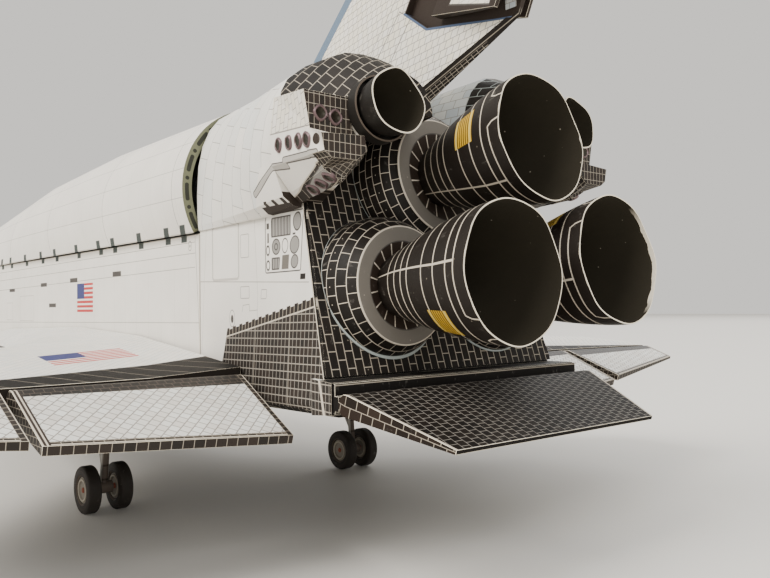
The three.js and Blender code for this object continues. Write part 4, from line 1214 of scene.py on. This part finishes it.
def brakeCard(side, sign):
    # z up the panel, back the distance behind its leaning front edge
    b = brakePrint
    card = PrintedCard(f"rudderPrint{side.capitalize()}", "tileBrown")
    up = card.z - b["footZ"]
    back = card.y - b["footY"] - up * b["lean"]
    # bottom edge rises backwards, rear edge leans as the hinge line does
    low = up + back * 0.262
    rear = 20.7 - back - up * 0.21
    window = band(low, b["low"], b["high"], 0.08) * rise(back, b["front"], 0.08) * rise(rear, b["rear"], 0.08)
    rim = fall(size(smaller(low - b["low"], back - b["front"], rear - b["rear"])), 0.14)
    for way, layout in ((sign, b["outward"]), (-sign, b["inward"])):
        facing = rise(card.faceX * way, 0.3, 0.1)
        card.bricks(card.y * 0.83 - card.z * 0.5, card.z, layout, window * facing)
        card.coat(rim * facing, "darkLine")
    return card.finish(rough=0.64, rub=0.2)


cardCopy("tail_fin", finCard(), sharp=14, flatten=0.1)
for side, sign in bothSides:
    cardCopy(f"speed_brake_{side}", brakeCard(side, sign), crease=0.05, sharp=30, flatten=0.1)
print("fin done")


# wings, elevons and body flap

wingPrint = {"bricks": (1.5, 1.5, 0.11, 0.0, "cool", 19.0), "bandFront": 91.7, "bandSlope": 0.2, "leading": 1.4,
             "flagCorner": (60.4, 76.5), "flagLean": 0.31, "flag": (0.0, -11.4, 20.4, 0.0),
             # leading edges as x, y and slope, of the glove by y and of the outer panel by x
             "glove": (27.0, -120.0, 0.1645), "outer": (48.3, 9.5, 1.045), "kink": (46.0, 12.0)}


def wingCard(side, sign):
    w = wingPrint
    card = PrintedCard(f"wingPrint{side.capitalize()}", "paperCool")
    across = card.x * sign
    card.bricks(*diagonals(across, card.y), w["bricks"])
    if side == "port":
        cornerX, cornerY = w["flagCorner"]
        run = cornerX - card.x
        stripedFlag(card, run, cornerY - card.y - run * w["flagLean"], w["flag"], rise(card.faceZ, 0.3, 0.1))
    strip = rise(card.y - (across - 35.0) * w["bandSlope"], w["bandFront"], 0.08)
    card.coat(strip, "tileBlack")
    card.repeat(across + (card.y - 100.0) * 0.7, 7.0, 0.16, "joint", strip, start=2.0)
    # grey leading edge, wider on the outer panel, with a seam every few millimetres
    (gloveX, gloveY, gloveSlope), (outerX, outerY, outerSlope), (kinkX, kinkY) = w["glove"], w["outer"], w["kink"]
    glove = (card.y - gloveY) * gloveSlope + gloveX - across
    outer = (card.y - outerY - (across - outerX) * outerSlope) * 0.69
    ahead = smaller(glove + rise(card.y, kinkY, 4.0) * 80.0, outer + fall(across, kinkX, 4.0) * 80.0)
    leading = fall(ahead, w["leading"], 0.08)
    card.coat(leading, "greyPanel")
    card.repeat(across * 1.3 + card.y * 0.6, 6.4, 0.14, "darkLine", leading)
    card.line(ahead, w["leading"], 0.12, "darkLine")
    blackUnderside(card, 20.0, -0.4, rise(ahead, w["leading"], 0.08))
    card.coat(rise(card.faceY, 0.7, 0.1) * rise(card.y, 100.0, 1.0), "tileSoft")
    return card.finish(gloss=0.15)


def drooped(card, hingeY, hingeZ, degrees):
    # a flap turned down about its hinge: distance behind the hinge in its plane, and height over that plane
    turn = np.radians(degrees)
    offY, offZ, c, s = card.y - hingeY, card.z - hingeZ, float(np.cos(turn)), float(np.sin(turn))
    return offY * c - offZ * s, offY * s + offZ * c


elevonTable = {
    # x0, x1 at the hinge, end x0, x1 at the tail, chord at both ends, hinge z at both ends, droop
    "inner": dict(x=(30.8, 74.8), tailX=(33.2, 74.8), chord=(24.0, 17.9), z=(33.4, 33.9), droop=17.0),
    "outer": dict(x=(76.6, 118.6), tailX=(76.6, 117.7), chord=(17.6, 9.0), z=(33.9, 34.6), droop=14.0),
}
elevonPrint = {
    "hingeY": 110.0, "diamonds": (1.75, 1.75, 0.2, 0.5, "grey", 21.0), "lead": (1.7, 1.35, 0.11, 0.5, "blackDim", 22.0),
    "tailRow": (1.6, 1.0, 0.11, 0.5, "brown", 23.0), "inboard": (1.5, 1.2, 0.11, 0.5, "brown", 24.0),
    "tailFace": (1.9, 40.0, 0.11, 0.0, "brown", 25.0), "ends": (1.5, 1.2, 0.11, 0.5, "brown", 26.0),
    "down": (2.2, 1.5, 0.12, 0.5, "black", 27.0),
}


def elevonCard(place):
    e, p = elevonTable[place], elevonPrint
    card = PrintedCard(f"elevonPrint{place.capitalize()}", "paperCool")
    across = size(card.x)
    (x0, x1), (tail0, tail1), (chord0, chord1), (z0, z1) = e["x"], e["tailX"], e["chord"], e["z"]
    share = (across - x0) / (x1 - x0)
    back, _ = drooped(card, p["hingeY"], z0 + (z1 - z0) * share, e["droop"])
    toTail = chord0 + (chord1 - chord0) * ((across - tail0) / (tail1 - tail0)) - back
    inboard = across - x0 - (tail0 - x0) / chord0 * back
    outboard = x1 - (x1 - tail1) / chord1 * back - across
    card.bricks(*diagonals(across, back), p["diamonds"])
    card.bricks(across, back, p["lead"], fall(back, 2.2 + (1.0 - share) * 1.6, 0.08))
    card.bricks(across, toTail, p["tailRow"], fall(toTail, 1.2, 0.05))
    card.line(toTail, 0.32, 0.13, "jointPale")
    card.bricks(back, inboard, p["inboard"], fall(inboard, 1.2, 0.05))
    card.coat(fall(outboard, 1.3, 0.05), "tileBrown")
    card.line(outboard, 0.8, 0.14, "jointPale")
    card.line(smaller(inboard, outboard), 0.12, 0.12, "jointPale")
    card.bricks(across, card.z, p["tailFace"], rise(card.faceY, 0.6, 0.1) * fall(toTail, 0.4, 0.1))
    card.bricks(back, card.z, p["ends"], card.sideways(0.7))
    card.bricks(card.y, card.x, p["down"], fall(card.faceZ, -0.35, 0.1))
    return card.finish(rough=0.6)


flapPrint = {"hingeY": 148.4, "hingeZ": 33.3, "droop": 17.0, "half": 33.4, "taper": 0.317, "rear": 19.3,
             "top": (1.55, 1.8, 0.11, 0.5, "blackGrey", 28.0), "ends": (2.2, 2.5, 0.12, 0.5, "softBrown", 29.0)}


def flapCard():
    # body flap: fine black bricks in the plane of the drooped top, two rows with white edges on its ends
    f = flapPrint
    card = PrintedCard("bodyFlapPrint", "tileBlack")
    back, up = drooped(card, f["hingeY"], f["hingeZ"], f["droop"])
    card.bricks(back, card.x, f["top"])
    card.coat(rise(card.faceY, 0.75, 0.1) * rise(back, f["rear"], 0.5), "tileBlack")
    card.bricks(back, up + 5.0, f["ends"], card.sideways(0.7))
    toEnd = f["half"] - larger(back, 0.0) * f["taper"] - size(card.x)
    card.line(toEnd, 0.25, 0.22, "jointPale", rise(card.faceZ, 0.3, 0.1), 0.08)
    return card.finish(rough=0.72, rub=0.3, cloudy=0.2, gloss=0.12)


def ledgeCard():
    card = PrintedCard("ledgePrint", "tileBlack")
    card.line(card.z, 36.4, 0.08, "joint", rise(card.faceY, 0.5, 0.1))
    return card.finish(rub=0.3, cloudy=0.2, gloss=0.15)


for side, sign in bothSides:
    cardCopy(f"wing_{side}", wingCard(side, sign), crease=0.05)
for place in elevonTable:
    elevonMaterial = elevonCard(place)
    for side, _ in bothSides:
        cardCopy(f"elevon_{place}_{side}", elevonMaterial, crease=0.06)
cardCopy("body_flap", flapCard(), crease=0.07)
cardCopy("flap_ledge", ledgeCard(), crease=0.06)
print("wings done")


# landing gear

mainWheels = dict(y=56.9, radius=5.8, width=3.2, spacing=7.8)
gearTable = {
    "main_wheels_port": dict(mainWheels, x=38.9), "main_wheels_starboard": dict(mainWheels, x=-38.9),
    "nose_wheels": dict(x=0.0, y=-151.8, radius=4.1, width=2.0, spacing=5.2),
}
wheelShape = {
    # share of the tyre radius, and share of the half width, from the middle of the hub out to the tread
    "radius": (0.0, 0.1, 0.12, 0.36, 0.4, 0.46, 0.5, 0.58, 0.62, 0.88, 0.96, 1.0),
    "along": (0.8, 0.8, 0.62, 0.62, 0.92, 0.92, 0.72, 0.72, 1.0, 1.0, 0.9, 0.68),
    "hub": 0.54, "cap": 0.12, "spokes": (0.16, 0.36), "spokeStep": 30.0, "axle": 0.6, "sides": 64, "worn": 0.1,
}


def wheelCard(name, g):
    w = wheelShape
    card = PrintedCard(f"wheelPrint.{name}", "tyre")
    offY, offZ = card.y - g["y"], card.z - g["radius"]
    reach = hypot(offY, offZ) / g["radius"]
    turn = calc("ARCTAN2", offY, offZ) * 57.3
    card.coat(fall(reach, w["hub"], 0.02), "hub")
    card.line(reach, 0.43, 0.035, "hubPale", soft=0.01)
    spokes = nearestEdge(turn / w["spokeStep"]) * w["spokeStep"]
    card.coat(band(reach, *w["spokes"], 0.01) * fall(spokes, 4.0, 1.0), "line")
    card.coat(fall(reach, w["cap"], 0.02), "hubRed")
    card.line(reach, 0.6, 0.02, "strut", soft=0.01)
    card.line(reach, 0.8, 0.012, "tileBrownSoft", soft=0.01)
    return card.finish(rough=0.68, rub=0.35, cloudy=0.24)


def wheelPairPiece(name, g):
    # two discs of layered card side by side on an axle, each a table profile swept round the axle
    w = wheelShape
    radius, along = np.array(w["radius"]) * g["radius"], np.array(w["along"]) * g["width"] / 2
    radius, along = np.append(radius, radius[::-1]), np.append(-along, along[::-1])
    half = g["spacing"] / 2
    profiles = [(radius, along - half), (radius, along + half),
                ((0, w["axle"], w["axle"], 0), (-half, -half, half, half))]
    material = wheelCard(name, g)
    pieces = []
    for number, profile in enumerate(profiles):
        grid, _ = turnedGrid(*profile, w["sides"])
        points = grid[..., [1, 0, 2]] + (g["x"], g["y"], g["radius"])
        pieces.append(sheetMesh(f"{name}.{number}", points, [material], sharp=28))
    pair = joinedPiece(pieces, f"{name}.pair")
    bevel = pair.modifiers.new("worn", "BEVEL")
    bevel.width, bevel.segments, bevel.limit_method = w["worn"] * mm, 2, "ANGLE"
    return shown(pair, name)


def strutCard():
    card = PrintedCard("strutPrint", "strut")
    card.repeat(card.z, 3.4, 0.5, "tileBrownSoft", start=1.0)
    card.coat(rise(size(card.faceX), 0.8, 0.2), "shade")
    return card.finish(rough=0.62, rub=0.4, cloudy=0.22)


def gearDoorCard():
    # outside black bricks, inside pale with a rib frame
    card = PrintedCard("gearDoorPrint", "bayPaint")
    card.repeat(card.y, 7.0, 0.4, "shade")
    outward = rise(card.faceX * calc("SIGN", card.x), 0.5, 0.1)
    card.bricks(card.y, card.z, (2.6, 1.6, 0.11, 0.5, "black", 30.0), outward)
    return card.finish(rough=0.6)


for name, facts in gearTable.items():
    wheelPairPiece(name, facts)
strutMaterial, gearDoorMaterial = strutCard(), gearDoorCard()
for side, _ in bothSides:
    cardCopy(f"main_gear_leg_{side}", strutMaterial)
    for gear in ("main", "nose"):
        cardCopy(f"{gear}_gear_door_{side}", gearDoorMaterial, crease=0.05)
cardCopy("nose_gear_leg", strutMaterial)
print("gear done")


# stage, lights and camera

stageTable = {"floorSize": 6.0, "floorInk": "#d9d6d0", "skyInk": "#efece6", "skyLevel": 1.05}


def makeFloor():
    half = stageTable["floorSize"] / 2
    mesh = bpy.data.meshes.new("floor")
    mesh.from_pydata([(-half, -half, 0), (half, -half, 0), (half, half, 0), (-half, half, 0)], [], [(0, 1, 2, 3)])
    material = bpy.data.materials.new("floorPaint")
    material.use_nodes = True
    shader = material.node_tree.nodes["Principled BSDF"]
    shader.inputs["Base Color"].default_value = ink(stageTable["floorInk"])
    shader.inputs["Roughness"].default_value = 0.6
    mesh.materials.append(material)
    floor = placed("floor", mesh)


def makeLight(name, place, aim, extent, power, colour):
    lamp = bpy.data.lights.new(name, "AREA")
    lamp.size, lamp.energy, lamp.color = extent, power, colour
    holder = placed(name, lamp)
    backward = np.array(place, float) - np.array(aim, float)
    backward /= np.linalg.norm(backward)
    right = np.cross((0, 0, 1), backward)
    right /= np.linalg.norm(right)
    up = np.cross(backward, right)
    holder.matrix_world = Matrix(np.vstack([np.column_stack([right, up, backward, place]), [0, 0, 0, 1]]).tolist())


def makeCamera():
    eye = np.array([0.11358, 0.25409, 0.04982])
    right = np.array([-0.76438733, 0.64465067, -0.01172673])
    down = np.array([-0.00428681, -0.02326877, -0.99972005])
    ahead = np.array([-0.64474307, -0.76412308, 0.02054985])
    lens = bpy.data.cameras.new("camera")
    lens.sensor_width, lens.lens, lens.clip_start, lens.clip_end = 36, 37.476, 0.004, 50
    camera = placed("camera", lens)
    camera.matrix_world = Matrix(np.vstack([np.column_stack([right, -down, -ahead, eye]), [0, 0, 0, 1]]).tolist())
    bpy.context.scene.camera = camera


makeFloor()
makeLight("keyLight", (2.1, 0.1, 2.1), (0, 0.05, 0.05), 1.6, 105.0, (1.0, 0.96, 0.90))
makeLight("fillLight", (0.5, 2.4, 1.1), (0, 0.1, 0.06), 1.6, 34.0, (1.0, 0.99, 0.97))
makeLight("rimLight", (-2.0, -0.6, 1.6), (0, 0, 0.06), 1.6, 30.0, (1.0, 1.0, 1.0))
sky = bpy.data.worlds.new("studio")
sky.use_nodes = True
sky.node_tree.nodes["Background"].inputs["Color"].default_value = ink(stageTable["skyInk"])
sky.node_tree.nodes["Background"].inputs["Strength"].default_value = stageTable["skyLevel"]
bpy.context.scene.world = sky
makeCamera()
print("stage done")
